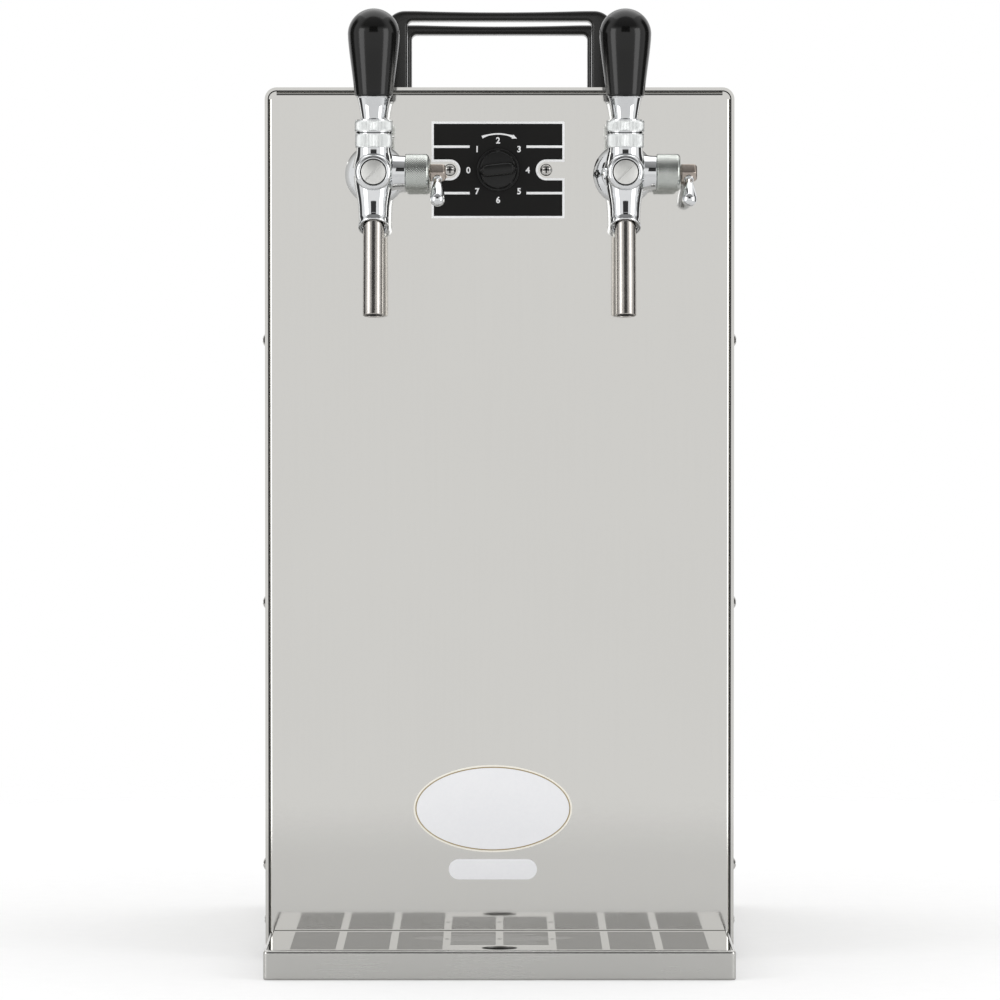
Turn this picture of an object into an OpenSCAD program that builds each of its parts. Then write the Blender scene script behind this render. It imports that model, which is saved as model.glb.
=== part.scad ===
// Dry beer cooler for a counter: a steel case with two compensator taps, a thermostat dial, two carry
// handles, a drip tray that stands in front of it, and the refrigeration inside.
// Millimetres, +Z up, the front faces -Y, the origin is the middle of the footprint on the counter.

/* [Case] */
// Outer width of the case
case_w = 316; // [306:1:340]
// Depth of the case from its front face to its rear face
case_d = 400; // [390:1:440]
// Height of the top above the counter
case_h = 588; // [580:1:620]
// Thickness of the case sheets
sheet_t = 1; // [0.8:0.1:1.2]
// Outer radius of the two upper corners
corner_r = 8; // [7:0.5:10]
// Seam between the cover and the panels
seam = 0.8; // [0.5:0.1:1]
// Height of the feet
foot_h = 10; // [8:1:14]
// Height of the lowest case screws
screw_z = 64; // [58:1:80]
// Distance between the case screws
screw_pitch = 177; // [160:1:185]

/* [Carry handles] */
// Width of a handle
handle_w = 156; // [148:1:170]
// Rise of a handle above the top
handle_h = 55; // [48:1:64]
// Depth of a handle
handle_d = 26; // [22:1:32]
// Thickness of a handle's legs
handle_leg = 14.8; // [12:0.1:18]
// Thickness of a handle's bar
handle_bar = 6.8; // [6:0.2:10]
// Distance of the front handle behind the front face
handle_back = 91; // [60:1:100]
// Distance between the two handles
handle_pitch = 218; // [200:1:250]

/* [Taps] */
// Distance between the two taps
tap_pitch = 167; // [155:1:180]
// Distance of the tap axis below the top
tap_drop = 58.5; // [48:0.5:68]
// Distance of the lever axis from the front face
tap_reach = 58; // [56:1:66]
// Forward tilt of the spouts
spout_tilt = 10; // [4:1:14]
// Length of a spout below the tap axis
spout_l = 96.5; // [85:0.5:110]
// Outer diameter of a spout
spout_d = 14; // [13:0.2:14.6]
// Full travel of a lever, in degrees
lever_turn = 30; // [20:1:30]
// Height of a handle grip
grip_h = 58; // [50:1:70]
// Greatest diameter of a handle grip
grip_d = 34.4; // [30:0.2:38]

/* [Thermostat] */
// Width of the dial plate
dial_w = 89.5; // [86:0.5:100]
// Height of the dial plate
dial_h = 65; // [58:1:72]
// Distance of the dial's middle below the top
dial_drop = 55.5; // [46:0.5:66]
// Offset of the dial to the right of the middle
dial_x = -1; // [-6:0.5:6]
// Diameter of the knob
knob_d = 28.5; // [26:0.5:34]
// Angle of the knob's pointer above the horizontal
knob_angle = 6; // [0:1:45]

/* [Badges] */
// Width of the oval badge
badge_w = 107; // [90:1:120]
// Height of the oval badge
badge_h = 59; // [50:1:70]
// Height of the oval badge's middle above the counter
badge_z = 102; // [100:1:120]
// Width of the strip under the badge
strip_w = 59.5; // [50:0.5:80]
// Height of the strip
strip_h = 13.8; // [10:0.2:16]
// Height of the strip's middle above the counter
strip_z = 61; // [44:1:62]
// Offset of both badges to the right of the middle
badge_x = -4.5; // [-10:0.5:10]

/* [Drip tray] */
// The tray is narrower than the case by this much on each side
tray_inset = 3.3; // [0:0.1:6]
// Depth of the tray
tray_d = 136; // [124:1:150]
// Height of the tray
tray_h = 19.5; // [17:0.5:25]
// Bare metal between two patches of slots in the grate
patch_gap = 5.1; // [4:0.1:10]
// Width of a slot
slot_w = 2.4; // [1.8:0.1:3]
// Distance between the slots
slot_pitch = 5; // [4.5:0.1:7]
// Diameter of the finger hole in the grate
finger_d = 23.5; // [20:0.5:25]

/* [Hidden] */
$fn = 72;
eps = 0.01;
// Fittings stand out behind the rear face by this much
fitting_out = 24;
total_d = tray_d + case_d + fitting_out;
front_y = tray_d - total_d / 2;
rear_y = front_y + case_d;
half_w = case_w / 2;
tap_x = tap_pitch / 2;
tap_z = case_h - tap_drop;
dial_z = case_h - dial_drop;

// Case
base_t = 1.5;
floor_z = foot_h + base_t;
hem_t = 2 * sheet_t;
hem_l = 5;
bend_r = 2.5;
flange_d = 16;
panel_half = half_w - hem_t - seam;
panel_top = case_h - hem_t - seam;
panel_corner = corner_r - hem_t - seam;
base_gap = 0.3;
base_half = half_w - sheet_t - base_gap;
base_lip = 26;
lip_y0 = front_y + flange_d + 4;
lip_y1 = rear_y - flange_d - 4;
screw_r = 1.9;
screw_l = 6;
screw_head_r = 4.5;
screw_head_h = 2;
screw_hole = 2.05;
screw_in = 9.5;
base_screw_in = 34;
base_screw_z = foot_h + 14;
screw_ys = [front_y + screw_in, rear_y - screw_in];
base_screw_ys = [front_y + base_screw_in, rear_y - base_screw_in];
screw_spots = concat(
    [for (s = [-1, 1], y = screw_ys, i = [0 : 2]) [s, y, screw_z + i * screw_pitch]],
    [for (s = [-1, 1], y = base_screw_ys) [s, y, base_screw_z]]
);
foot_in_x = 20;
foot_in_y = 36;
foot_spots = [for (x = [-1, 1], y = [front_y + foot_in_y, rear_y - foot_in_y]) [x * (half_w - foot_in_x), y]];
foot_r = 15;
stem_r = 4;
handle_ys = [front_y + handle_back, front_y + handle_back + handle_pitch];
handle_corner = 13;
handle_inner_corner = 3.5;
handle_dip = 0.9;
dip_r = 1800;
bolt_x = (handle_w - handle_leg) / 2;
bolt_r = 3;
bolt_in = 16;
bolt_head_r = 5.8;
bolt_head_h = 4;
washer_r = 9;
washer_t = 1.2;
vent_y = front_y + 215;
vent_z = 90;
vent_rows = 11;
vent_l = 90;
vent_w = 5;
vent_pitch = 14;
rear_vent_xs = [-84, 0, 84];
rear_vent_rows = 17;
rear_vent_l = 72;
rear_vent_low = 20;

// Thermostat
thermostat_w = 44;
thermostat_d = 36;
thermostat_h = 32;
strap_w = 80;
strap_h = 14;
strap_t = 1.5;
dial_t = 0.6;
dial_screw_x = 32.4;
dial_screw_r = 1.5;
dial_head_r = 4.1;
dial_head_h = 2.2;
tab_r = 5.5;
neck_r = 5;
neck_out = 3;
shaft_r = 3;
shaft_hole = 3.05;
shaft_out = 13;
shaft_in = 13.5;
knob_gap = 0.5;
knob_h = 15;
knob_skirt = 3.5;
knob_grip_w = 9;
pointer_l = 5.4;
pointer_w = 2;
badge_t = 0.8;

// Taps, measured from the tap axis at the front face
barrel_r = 12.5;
barrel_front = tap_reach + 16;
joint_u = 26;
tail_r = 10;
tail_l = 8;
shank_r = 11;
shank_in = 46;
shank_bore = 5;
shank_nut_r = 18;
shank_nut_l = 7;
rosette_r = 20.5;
rosette_h = 11;
rosette_ball = (rosette_r * rosette_r + rosette_h * rosette_h) / (2 * rosette_h);
nut_r = 14.5;
nut_l = 19;
nut_groove = 1.6;
seat_r = 4;
valve_r = 5;
valve_bore = 5.3;
plunger_r = 5.8;
plunger_bore = 6.5;
valve_stem_r = 2.4;
pivot_h = 17.2;
ball_r = 7;
pocket_r = 7.3;
pin_r = 2;
pin_hole = 2.06;
pin_half = 10;
pin_room = 0.3;
finger_r = 1.6;
tip_r = 2.5;
tip_gap = 0.45;
lever_stem_r = 3;
stem_slot = lever_stem_r + 0.5;
bonnet_r = 12;
bonnet_ball = 14.85;
collar_r = 12.35;
collar_ball = 15.5;
collar_top = 34.8;
ferrule_top = 50.8;
stud_r = 4;
stud_top = ferrule_top + 24;
ferrule_foot_r = 8.5;
ferrule_top_r = 11.75;
grip_foot_r = 12.5;
cap_r = 8.5;
cap_in = 0.6;
cap_t = 6.2;
cap_slot_l = 15.5;
cap_slot_w = 1.1;
cap_slot_deep = 1;
cap_slot_turn = 46;
socket_top_r = 12.7;
socket_end_r = 9.75;
socket_l = 34.5;
socket_rim = 3;
socket_cut = 23;
socket_end = socket_l + socket_rim;
mouth_r = 8.6;
mouth_in = 3;
outlet_r = 4;
spout_start = 22;
spout_r = spout_d / 2;
spout_t = 1.2;
comp_u = tap_reach - 6;
boss_r = 11.5;
boss_x = 21;
comp_collar_x = 36.7;
comp_collar_r = 12.5;
comp_round = 3;
comp_stem_r = 3;
comp_stem_x = 6.5;
comp_hex_r = 6.5;
comp_hex_l = 10.7;
comp_hex_gap = 0.4;
comp_lever_x = 42.3;
comp_lever_tilt = 40;
comp_lever_l = 22.5;
comp_lever_r = 2.9;
comp_tip_r = 4.9;

// Drip tray
tray_w = case_w - 2 * tray_inset;
tray_gap = 0.4;
tray_real_d = tray_d - tray_gap;
tray_mid = front_y - tray_gap - tray_real_d / 2;
tray_t = 1;
tray_round = 3;
weld_seam = 0.03;
rim_w = 2;
ledge_w = 7;
grate_t = 1.2;
grate_gap = 0.5;
ledge_z = tray_h - grate_t;
patch_n = 8;
patch_side = 14.7;
patch_pitch = (tray_w - 2 * patch_side) / patch_n;
patch_w = patch_pitch - patch_gap;
patch_back = 10;
patch_front = 6;
finger_front = 18;
peg_r = 1.8;
peg_back = tray_d * 0.43;
long_rows = floor((tray_d - patch_back - patch_front) / slot_pitch);
short_rows = floor((tray_d - patch_back - finger_front - finger_d / 2 - 5) / slot_pitch);

// Refrigeration
plate_w = 144;
plate_d = 114;
plate_side = 16;
plate_t = 3;
compressor_x = half_w - plate_side - plate_w / 2;
compressor_back = 105;
compressor_y = front_y + compressor_back;
compressor_z = floor_z + 12;
compressor_r = 66;
compressor_h = 180;
shell_round = 40;
weld_out = 2.5;
weld_h = 4;
grommet_r = 9.5;
grommet_under = 1.5;
grommet_neck_r = 5;
grommet_neck = plate_t + 0.2;
grommet_top_r = 7.5;
grommet_top = 3;
seat_x = plate_w / 2 - 12;
seat_y = plate_d / 2 - 11;
seat_spots = [for (x = [-1, 1], y = [-1, 1]) [compressor_x + x * seat_x, compressor_y + y * seat_y]];
stub_off = 35;
stub_l = 20;
stub_top = compressor_z + compressor_h + 12;
wall_t = 20;
lid_drop = 56.5;
lid_top = tap_z - lid_drop;
box_side = 8;
box_gap = 10;
box_w = case_w - box_side - box_gap - plate_w - plate_side;
box_d = 170;
box_x = box_side - half_w + box_w / 2;
box_y = front_y + 20 + box_d / 2;
block_gap = 0.5;
block_w = box_w - 2 * wall_t - 2 * block_gap;
block_d = box_d - 2 * wall_t - 2 * block_gap;
block_z = floor_z + wall_t;
block_top = lid_top - wall_t;
core_side = 33;
core_w = case_w - 2 * core_side;
core_d = 44;
core_h = 262;
core_y = rear_y - 14 - core_d / 2;
coil_r = 4;
coil_rows = 6;
coil_pitch = 40;
coil_z0 = floor_z + 27;
coil_top = coil_z0 + (coil_rows - 1) * coil_pitch;
coil_half = core_w / 2 + 8;
coil_out = half_w - 11;
fin_n = 26;
fin_t = 0.8;
shroud_d = 36;
shroud_y = core_y - core_d / 2 - shroud_d;
fan_z = floor_z + core_h / 2;
fan_r = 98;
fan_open_r = 104;
fan_shaft_r = 4;
fan_shaft_hole = 4.06;
fan_shaft_in = 30;
fan_shaft_l = 56;
shroud_t = 1;
spider_r = 44;
spider_w = 14;
motor_r = 40;
motor_l = 34;
bell_r = 28;
bell_l = 10;
hub_r = 24;
hub_l = 20;
blade_y = 17;
blade_n = 5;
blade_t = 1.8;
blade_w = 52;
blade_turn = 32;
blade_room = 28;
drier_y = rear_y - 160;
drier_z = floor_z + 62;
drier_l = 90;
drier_r = 9;
drier_end = 8;
drier_neck_r = 2.5;
capillary_r = 1.5;
line_r = 5;
line_bore = 3.5;
line_bend = 15;
suction_r = 6;
capillary_x = box_x - block_w / 2 + 28.5;
capillary_y = box_y + 25;
capillary_in = 32;
capillary_rise = 45;
suction_rise = 28;
suction_x = box_x + block_w / 2 - 7.5;
beer_y = box_y + 5;
line_in = 27.5;
beer_xs = [-tap_x, box_x + block_w / 2 - line_in];
inlet_y = box_y + 45;
inlet_xs = [box_x - block_w / 2 + 14.5, box_x + block_w / 2 - line_in];
inlet_z = tap_z;
inlet_in = 16;
inlet_bore = 4.8;
inlet_depth = 20;
gland_x = half_w - 30;
gland_z = core_h + 40;
gland_bore = 4;
gland_in = 12;
gland_r = 10;
gland_end_r = 7;
gland_cone_l = 13;
gland_hex_r = 12;
inlet_hex_r = 13;
inlet_body_r = 10;
inlet_end = 5;
port_r = 8;
port_hole = 8.2;
port_hex_l = 6;
port_lock_l = 5;

// Colours
steel = [0.79, 0.785, 0.765];
chrome = [0.82, 0.82, 0.83];
black = [0.06, 0.06, 0.06];
white = [0.93, 0.93, 0.9];
copper = [0.72, 0.43, 0.27];
aluminium = [0.75, 0.76, 0.77];
foam = [0.9, 0.9, 0.88];
dark = [0.12, 0.12, 0.13];

// Helpers
function unit(v) = v / norm(v);

// Cylinder that runs along +X from the origin
module rod_x(r, l) {
    rotate([0, 90, 0]) cylinder(r = r, h = l);
}

// Cylinder that runs along +Y from the origin
module rod_y(r, l) {
    rotate([-90, 0, 0]) cylinder(r = r, h = l);
}

// Cone that runs along +Y from the origin
module cone_y(r1, r2, l) {
    rotate([-90, 0, 0]) cylinder(r1 = r1, r2 = r2, h = l);
}

// Profile drawn in X and Z, drawn out along Y
module along_y(y, l) {
    translate([0, y + l, 0]) rotate([90, 0, 0]) linear_extrude(l) children();
}

// Profile with straight sides and two round upper corners
module arch(w, z0, z1, r) {
    translate([-w / 2, z0]) square([w, z1 - z0 - r]);
    translate([-w / 2 + r, z0]) square([w - 2 * r, z1 - z0]);
    for (s = [-1, 1]) translate([s * (w / 2 - r), z1 - r]) circle(r);
}

// Rectangle about the origin with round corners
module round_rect(w, d, r) {
    square([w - 2 * r, d], center = true);
    square([w, d - 2 * r], center = true);
    for (x = [-1, 1], y = [-1, 1]) translate([x * (w / 2 - r), y * (d / 2 - r)]) circle(r);
}

// Pill about the origin
module pill(l, w) {
    square([l - w, w], center = true);
    for (s = [-1, 1]) translate([s * (l - w) / 2, 0]) circle(w / 2);
}

// Ring, or a disc where there is no bore
module ring(r, bore) {
    if (bore > 0) {
        difference() {
            circle(r);
            circle(bore);
        }
    } else {
        circle(r);
    }
}

// Moves the local +Z axis onto the direction u at a point
module aim(p, u) {
    a = abs(u[2]) > 0.9 ? [1, 0, 0] : [0, 0, 1];
    x = unit(cross(a, u));
    y = cross(u, x);
    multmatrix([
        [x[0], y[0], u[0], p[0]],
        [x[1], y[1], u[1], p[1]],
        [x[2], y[2], u[2], p[2]],
        [0, 0, 0, 1]
    ]) children();
}

// Tube through the points, with a round bend at each inner point
module tube(points, r, bore, bend) {
    last = len(points) - 1;
    for (i = [0 : last - 1]) {
        u = unit(points[i + 1] - points[i]);
        from = points[i] + (i > 0 ? bend : 0) * u;
        to = points[i + 1] - (i < last - 1 ? bend : 0) * u;
        if (norm(to - from) > eps) aim(from, u) linear_extrude(norm(to - from)) ring(r, bore);
    }
    if (last > 1) {
        for (i = [1 : last - 1]) {
            u = unit(points[i] - points[i - 1]);
            v = unit(points[i + 1] - points[i]);
            c = points[i] - bend * u + bend * v;
            w = cross(-v, u);
            multmatrix([
                [-v[0], u[0], w[0], c[0]],
                [-v[1], u[1], w[1], c[1]],
                [-v[2], u[2], w[2], c[2]],
                [0, 0, 0, 1]
            ]) rotate_extrude(angle = 90) translate([bend, 0]) ring(r, bore);
        }
    }
}

// Domed screw with a cross recess, its head outside and its shank along +Z inwards
module screw(head_r, head_h, r, l) {
    ball = (head_r * head_r + head_h * head_h) / (2 * head_h);
    difference() {
        intersection() {
            translate([0, 0, ball - head_h]) sphere(ball);
            translate([0, 0, -head_h]) cylinder(r = head_r, h = head_h);
        }
        translate([0, 0, -head_h]) cube([head_r * 1.1, head_r * 0.24, head_h * 1.3], center = true);
        translate([0, 0, -head_h]) cube([head_r * 0.24, head_r * 1.1, head_h * 1.3], center = true);
    }
    cylinder(r = r, h = l);
}

// Case
module case_shell(t) {
    difference() {
        arch(case_w, foot_h, case_h, corner_r);
        arch(case_w - 2 * t, foot_h - 1, case_h - t, corner_r - t);
    }
}

// Sheet folded back along an edge: its outer corner is at the origin
module fold() {
    translate([-bend_r, bend_r]) intersection() {
        ring(bend_r, bend_r - sheet_t);
        translate([0, -bend_r]) square(bend_r);
    }
    translate([-sheet_t, bend_r]) square([sheet_t, flange_d - bend_r]);
}

// Panel with its sides and its top folded back, its face at Y = 0 and its flanges towards +Y
module folded_panel() {
    top_l = case_w - 2 * corner_r;
    flat = panel_half - bend_r;
    translate([-flat, 0, floor_z]) cube([2 * flat, sheet_t, panel_top - bend_r - floor_z]);
    translate([top_l / 2, 0, panel_top]) rotate([0, -90, 0]) linear_extrude(top_l) fold();
    for (s = [0, 1]) {
        mirror([s, 0, 0]) {
            translate([panel_half, 0, floor_z]) linear_extrude(case_h - corner_r - floor_z) fold();
            along_y(0, sheet_t) translate([half_w - corner_r, case_h - corner_r]) intersection() {
                circle(panel_corner);
                square(panel_corner);
            }
        }
    }
}

// Holes of the side screws, right through both sides
module screw_bores() {
    for (p = screw_spots) if (p[0] > 0) translate([-half_w - 1, p[1], p[2]]) rod_x(screw_hole, case_w + 2);
}

module front_panel() {
    color(steel) difference() {
        translate([0, front_y, 0]) folded_panel();
        screw_bores();
        for (s = [-1, 1]) {
            translate([s * tap_x, front_y - 1, tap_z]) rod_y(shank_r + 0.3, 4);
            translate([dial_x + s * dial_screw_x, front_y - 1, dial_z]) rod_y(dial_screw_r + 0.3, 4);
        }
        translate([dial_x, front_y - 1, dial_z]) rod_y(neck_r + 0.2, 4);
    }
}

module cover() {
    color(steel) difference() {
        union() {
            along_y(front_y, hem_l) case_shell(hem_t);
            along_y(front_y + hem_l, case_d - 2 * hem_l) case_shell(sheet_t);
            along_y(rear_y - hem_l, hem_l) case_shell(hem_t);
        }
        screw_bores();
        for (x = [-bolt_x, bolt_x], y = handle_ys) {
            translate([x, y, case_h - 3]) cylinder(r = bolt_r + 0.2, h = 5);
        }
        for (i = [0 : vent_rows - 1]) {
            translate([-half_w - 1, vent_y, vent_z + i * vent_pitch]) rotate([90, 0, 90])
                linear_extrude(case_w + 2) pill(vent_l, vent_w);
        }
    }
}

module rear_panel() {
    color(steel) difference() {
        translate([0, rear_y, 0]) rotate([0, 0, 180]) folded_panel();
        screw_bores();
        along_y(rear_y - 3, 4) for (x = rear_vent_xs, i = [0 : rear_vent_rows - 1])
            translate([x, floor_z + rear_vent_low + i * vent_pitch]) pill(rear_vent_l, vent_w);
        for (x = inlet_xs) translate([x, rear_y - 3, inlet_z]) rod_y(port_hole, 4);
        translate([gland_x, rear_y - 3, gland_z]) rod_y(port_hole, 4);
    }
}

module base_plate() {
    between = hem_l + base_gap;
    tongue = half_w - hem_t - base_gap;
    color(steel) difference() {
        union() {
            translate([-base_half, front_y + between, foot_h])
                cube([2 * base_half, case_d - 2 * between, base_t]);
            translate([-tongue, front_y + base_gap, foot_h])
                cube([2 * tongue, case_d - 2 * base_gap, base_t]);
            for (s = [0, 1]) mirror([s, 0, 0]) translate([base_half - base_t, lip_y0, foot_h])
                cube([base_t, lip_y1 - lip_y0, base_lip]);
        }
        screw_bores();
        for (p = concat(foot_spots, seat_spots)) {
            translate([p[0], p[1], foot_h - 1]) cylinder(r = stem_r + 0.1, h = 4);
        }
    }
}

module feet() {
    color(black) for (p = foot_spots) translate([p[0], p[1], 0]) {
        cylinder(r1 = foot_r - 1.5, r2 = foot_r, h = foot_h);
        cylinder(r = stem_r, h = floor_z);
        translate([0, 0, floor_z]) cylinder(r1 = stem_r + 1.4, r2 = stem_r - 1, h = 5);
    }
}

module case_screws() {
    color(chrome) for (p = screw_spots) translate([p[0] * half_w, p[1], p[2]])
        rotate([0, p[0] > 0 ? -90 : 90, 0]) screw(screw_head_r, screw_head_h, screw_r, screw_l);
}

// Arch of one carry handle: its bar dips a little in the middle
module handle_at(y) {
    inner_w = handle_w - 2 * handle_leg;
    top = case_h + handle_h;
    difference() {
        along_y(y - handle_d / 2, handle_d) difference() {
            arch(handle_w, case_h, top, handle_corner);
            arch(inner_w, case_h - 1, top - handle_bar, handle_inner_corner);
        }
        translate([0, y - handle_d, top - handle_dip + dip_r]) rod_y(dip_r, 2 * handle_d, $fn = 1440);
        for (x = [-bolt_x, bolt_x]) {
            translate([x, y, case_h - 1]) cylinder(r = bolt_r + 0.05, h = bolt_in + 1.5);
        }
    }
}

module front_handle() {
    color(black) handle_at(handle_ys[0]);
}

module rear_handle() {
    color(black) handle_at(handle_ys[1]);
}

module handle_bolts() {
    under = case_h - sheet_t;
    color(chrome) for (x = [-bolt_x, bolt_x], y = handle_ys) translate([x, y, 0]) {
        translate([0, 0, under - bolt_head_h]) cylinder(r = bolt_r, h = sheet_t + bolt_head_h + bolt_in);
        translate([0, 0, under - washer_t]) cylinder(r = washer_r, h = washer_t);
        translate([0, 0, under - washer_t - bolt_head_h]) cylinder(r = bolt_head_r, h = bolt_head_h, $fn = 6);
    }
}

// Thermostat
module dial_plate() {
    color(black) along_y(front_y - dial_t, dial_t) translate([dial_x, dial_z]) difference() {
        square([dial_w, dial_h], center = true);
        for (s = [-1, 1]) {
            translate([s * dial_screw_x, 0]) circle(tab_r);
            translate([s * (dial_screw_x + dial_w / 2), 0]) square([dial_w, 2 * tab_r], center = true);
        }
        circle(neck_r + 0.6);
    }
}

module dial_screws() {
    color(chrome) for (s = [-1, 1]) translate([dial_x + s * dial_screw_x, front_y, dial_z])
        rotate([-90, 0, 0]) screw(dial_head_r, dial_head_h, dial_screw_r, screw_l);
}

module thermostat() {
    color(dark) translate([dial_x, front_y, dial_z]) difference() {
        union() {
            translate([-strap_w / 2, sheet_t, -strap_h / 2]) cube([strap_w, strap_t, strap_h]);
            translate([-thermostat_w / 2, sheet_t, -thermostat_h / 2])
                cube([thermostat_w, thermostat_d, thermostat_h]);
            translate([0, -neck_out, 0]) rod_y(neck_r, neck_out + 4);
        }
        translate([0, -neck_out - 1, 0]) rod_y(shaft_hole, neck_out + 1 + shaft_in + 0.5);
        for (s = [-1, 1]) translate([s * dial_screw_x, sheet_t - 1, 0]) rod_y(dial_screw_r + 0.1, 4);
    }
}

module thermostat_shaft() {
    color(steel) translate([dial_x, front_y - shaft_out, dial_z]) rod_y(shaft_r, shaft_out + shaft_in);
}

module thermostat_knob() {
    back = front_y - dial_t - knob_gap;
    r = knob_d / 2;
    top_h = 8;
    top_in = 2.4;
    skirt_in = 0.8;
    grip_in = 3.4;
    pointer_in = 6;
    pointer_drop = 2.5;
    color(black) translate([dial_x, back, dial_z]) rotate([0, -knob_angle, 0]) difference() {
        union() {
            translate([0, -knob_skirt, 0]) rod_y(r, knob_skirt);
            translate([0, -top_h, 0]) cone_y(r - top_in, r - skirt_in, top_h - knob_skirt + 0.1);
            intersection() {
                translate([-r, -knob_h, -knob_grip_w / 2]) cube([2 * r, knob_h - 3, knob_grip_w]);
                translate([0, -knob_h, 0]) cone_y(r - grip_in, r - skirt_in - 0.1, knob_h);
            }
            translate([r - pointer_in, pointer_drop - knob_h, -pointer_w / 2])
                cube([pointer_l, knob_h - 3, pointer_w]);
        }
        translate([0, -shaft_out - 0.5 + dial_t + knob_gap, 0]) rod_y(shaft_r + 0.02, shaft_out + 3);
        translate([0, -neck_out - 0.4 + dial_t + knob_gap, 0]) rod_y(neck_r + 0.6, neck_out + 2);
    }
}

module front_badges() {
    oval = [for (i = [0 : 95]) [badge_w / 2 * cos(i * 3.75), badge_h / 2 * sin(i * 3.75)]];
    color(white) {
        along_y(front_y - badge_t, badge_t) translate([badge_x, badge_z]) polygon(oval);
        along_y(front_y - badge_t, badge_t) translate([badge_x, strip_z]) pill(strip_w, strip_h);
    }
}

// Taps: each shape is drawn about the tap axis at the front face, and outwards is -Y
module at_tap(side) {
    translate([side * tap_x, front_y, tap_z]) children();
}

// Frame of the spout: its axis is the local -Z
module at_spout() {
    translate([0, -tap_reach, 0]) rotate([-spout_tilt, 0, 0]) children();
}

module shank_shape() {
    difference() {
        union() {
            rod_y(shank_r, shank_in);
            intersection() {
                translate([0, rosette_ball - rosette_h, 0]) sphere(rosette_ball);
                translate([0, -rosette_h, 0]) rod_y(rosette_r, rosette_h);
            }
            translate([0, -joint_u, 0]) rod_y(tail_r, joint_u);
        }
        translate([0, -joint_u - 1, 0]) rod_y(shank_bore, joint_u + shank_in + 2);
        translate([0, -joint_u - 1, 0]) rod_y(plunger_bore, 17);
    }
}

module nut_shape() {
    difference() {
        translate([0, -tail_l - joint_u + 1.5, 0]) rod_y(nut_r, nut_l);
        translate([0, -tail_l - joint_u, 0]) {
            rod_y(tail_r + 0.1, nut_l + 5);
            for (a = [0 : 60 : 300]) rotate([0, a, 0]) translate([nut_r, 0, 0]) rod_y(nut_groove, nut_l + 5);
        }
    }
}

module body_shape() {
    difference() {
        union() {
            translate([0, -joint_u - tail_l - 1, 0]) rod_y(tail_r, tail_l + 1);
            translate([0, 1 - barrel_front, 0]) rod_y(barrel_r, barrel_front - joint_u - tail_l - 1);
            translate([0, -barrel_front, 0]) cone_y(barrel_r - 0.8, barrel_r, 1);
            translate([0, -tap_reach, 0]) cylinder(r = bonnet_r - 0.2, h = pivot_h);
            translate([0, -comp_u, 0]) rod_x(boss_r, boss_x);
            at_spout() difference() {
                union() {
                    translate([0, 0, -socket_l])
                        cylinder(r1 = socket_end_r, r2 = socket_top_r, h = socket_l - 5);
                    translate([0, 0, -socket_end - 5]) cylinder(r = socket_end_r + 0.5, h = socket_rim + 5);
                }
                translate([0, 0, -socket_end]) rotate([-socket_cut, 0, 0]) translate([-20, -20, -20])
                    cube([40, 40, 20]);
            }
        }
        translate([0, -joint_u - tail_l, 0]) rod_y(seat_r, tail_l + 1);
        translate([0, -barrel_front + 1, 0]) rod_y(valve_bore, barrel_front - joint_u - tail_l - 1);
        translate([0, -barrel_front - 1, 0]) rod_y(cap_r + 0.2, 8);
        translate([0, -tap_reach, pivot_h]) {
            sphere(pocket_r);
            translate([-pin_half - pin_room, 0, 0]) rod_x(pin_hole, 2 * (pin_half + pin_room));
        }
        translate([0, -tap_reach, 0]) intersection() {
            cylinder(r = 9, h = pivot_h);
            cylinder(r1 = pivot_h * tan(47), r2 = 0, h = pivot_h);
        }
        translate([0, -comp_u, 0]) rod_x(comp_stem_r + 0.05, boss_x + 1);
        at_spout() {
            translate([0, 0, -spout_start]) cylinder(r = outlet_r, h = spout_start);
            translate([0, 0, -socket_end - 6]) cylinder(r = spout_r + 0.05, h = socket_end + 6 - spout_start);
            translate([0, 0, -socket_end - 6]) cylinder(r = mouth_r, h = mouth_in + 6);
        }
    }
}

module cap_shape() {
    difference() {
        translate([0, cap_in - barrel_front, 0]) rod_y(cap_r, cap_t);
        translate([0, cap_in - barrel_front, 0]) rotate([0, -cap_slot_turn, 0])
            cube([cap_slot_l, 2 * cap_slot_deep, cap_slot_w], center = true);
    }
}

// Slot for the lever's stem over its whole travel, about the pivot
module stem_slot_shape() {
    low = 1;
    high = 20;
    front = function (z) -z * tan(lever_turn) - stem_slot / cos(lever_turn);
    rotate([90, 0, 90]) translate([0, 0, -stem_slot]) linear_extrude(2 * stem_slot) polygon([
        [stem_slot, low], [stem_slot, high], [front(high), high], [front(low), low]
    ]);
}

module bonnet_shape() {
    translate([0, -tap_reach, pivot_h]) difference() {
        intersection() {
            cylinder(r = bonnet_r, h = bonnet_ball);
            sphere(bonnet_ball);
        }
        sphere(pocket_r);
        translate([-pin_half - pin_room, 0, 0]) rod_x(pin_hole, 2 * (pin_half + pin_room));
        stem_slot_shape();
    }
}

module lever_shape() {
    translate([0, -tap_reach, 0]) {
        translate([0, 0, pivot_h]) {
            sphere(ball_r);
            translate([-pin_half, 0, 0]) rod_x(pin_r, 2 * pin_half);
            cylinder(r = lever_stem_r, h = collar_top - pivot_h);
        }
        cylinder(r = finger_r, h = pivot_h);
        sphere(tip_r);
        difference() {
            translate([0, 0, pivot_h + 8]) cylinder(r = collar_r, h = collar_top - pivot_h - 8);
            translate([0, 0, pivot_h]) sphere(collar_ball);
        }
        translate([0, 0, collar_top - 1]) cylinder(r = stud_r, h = stud_top - collar_top + 1);
    }
}

module ferrule_shape() {
    translate([0, -tap_reach, collar_top]) difference() {
        cylinder(r1 = ferrule_foot_r, r2 = ferrule_top_r, h = ferrule_top - collar_top);
        translate([0, 0, -1]) cylinder(r = stud_r + 0.1, h = ferrule_top - collar_top + 2);
    }
}

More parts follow.
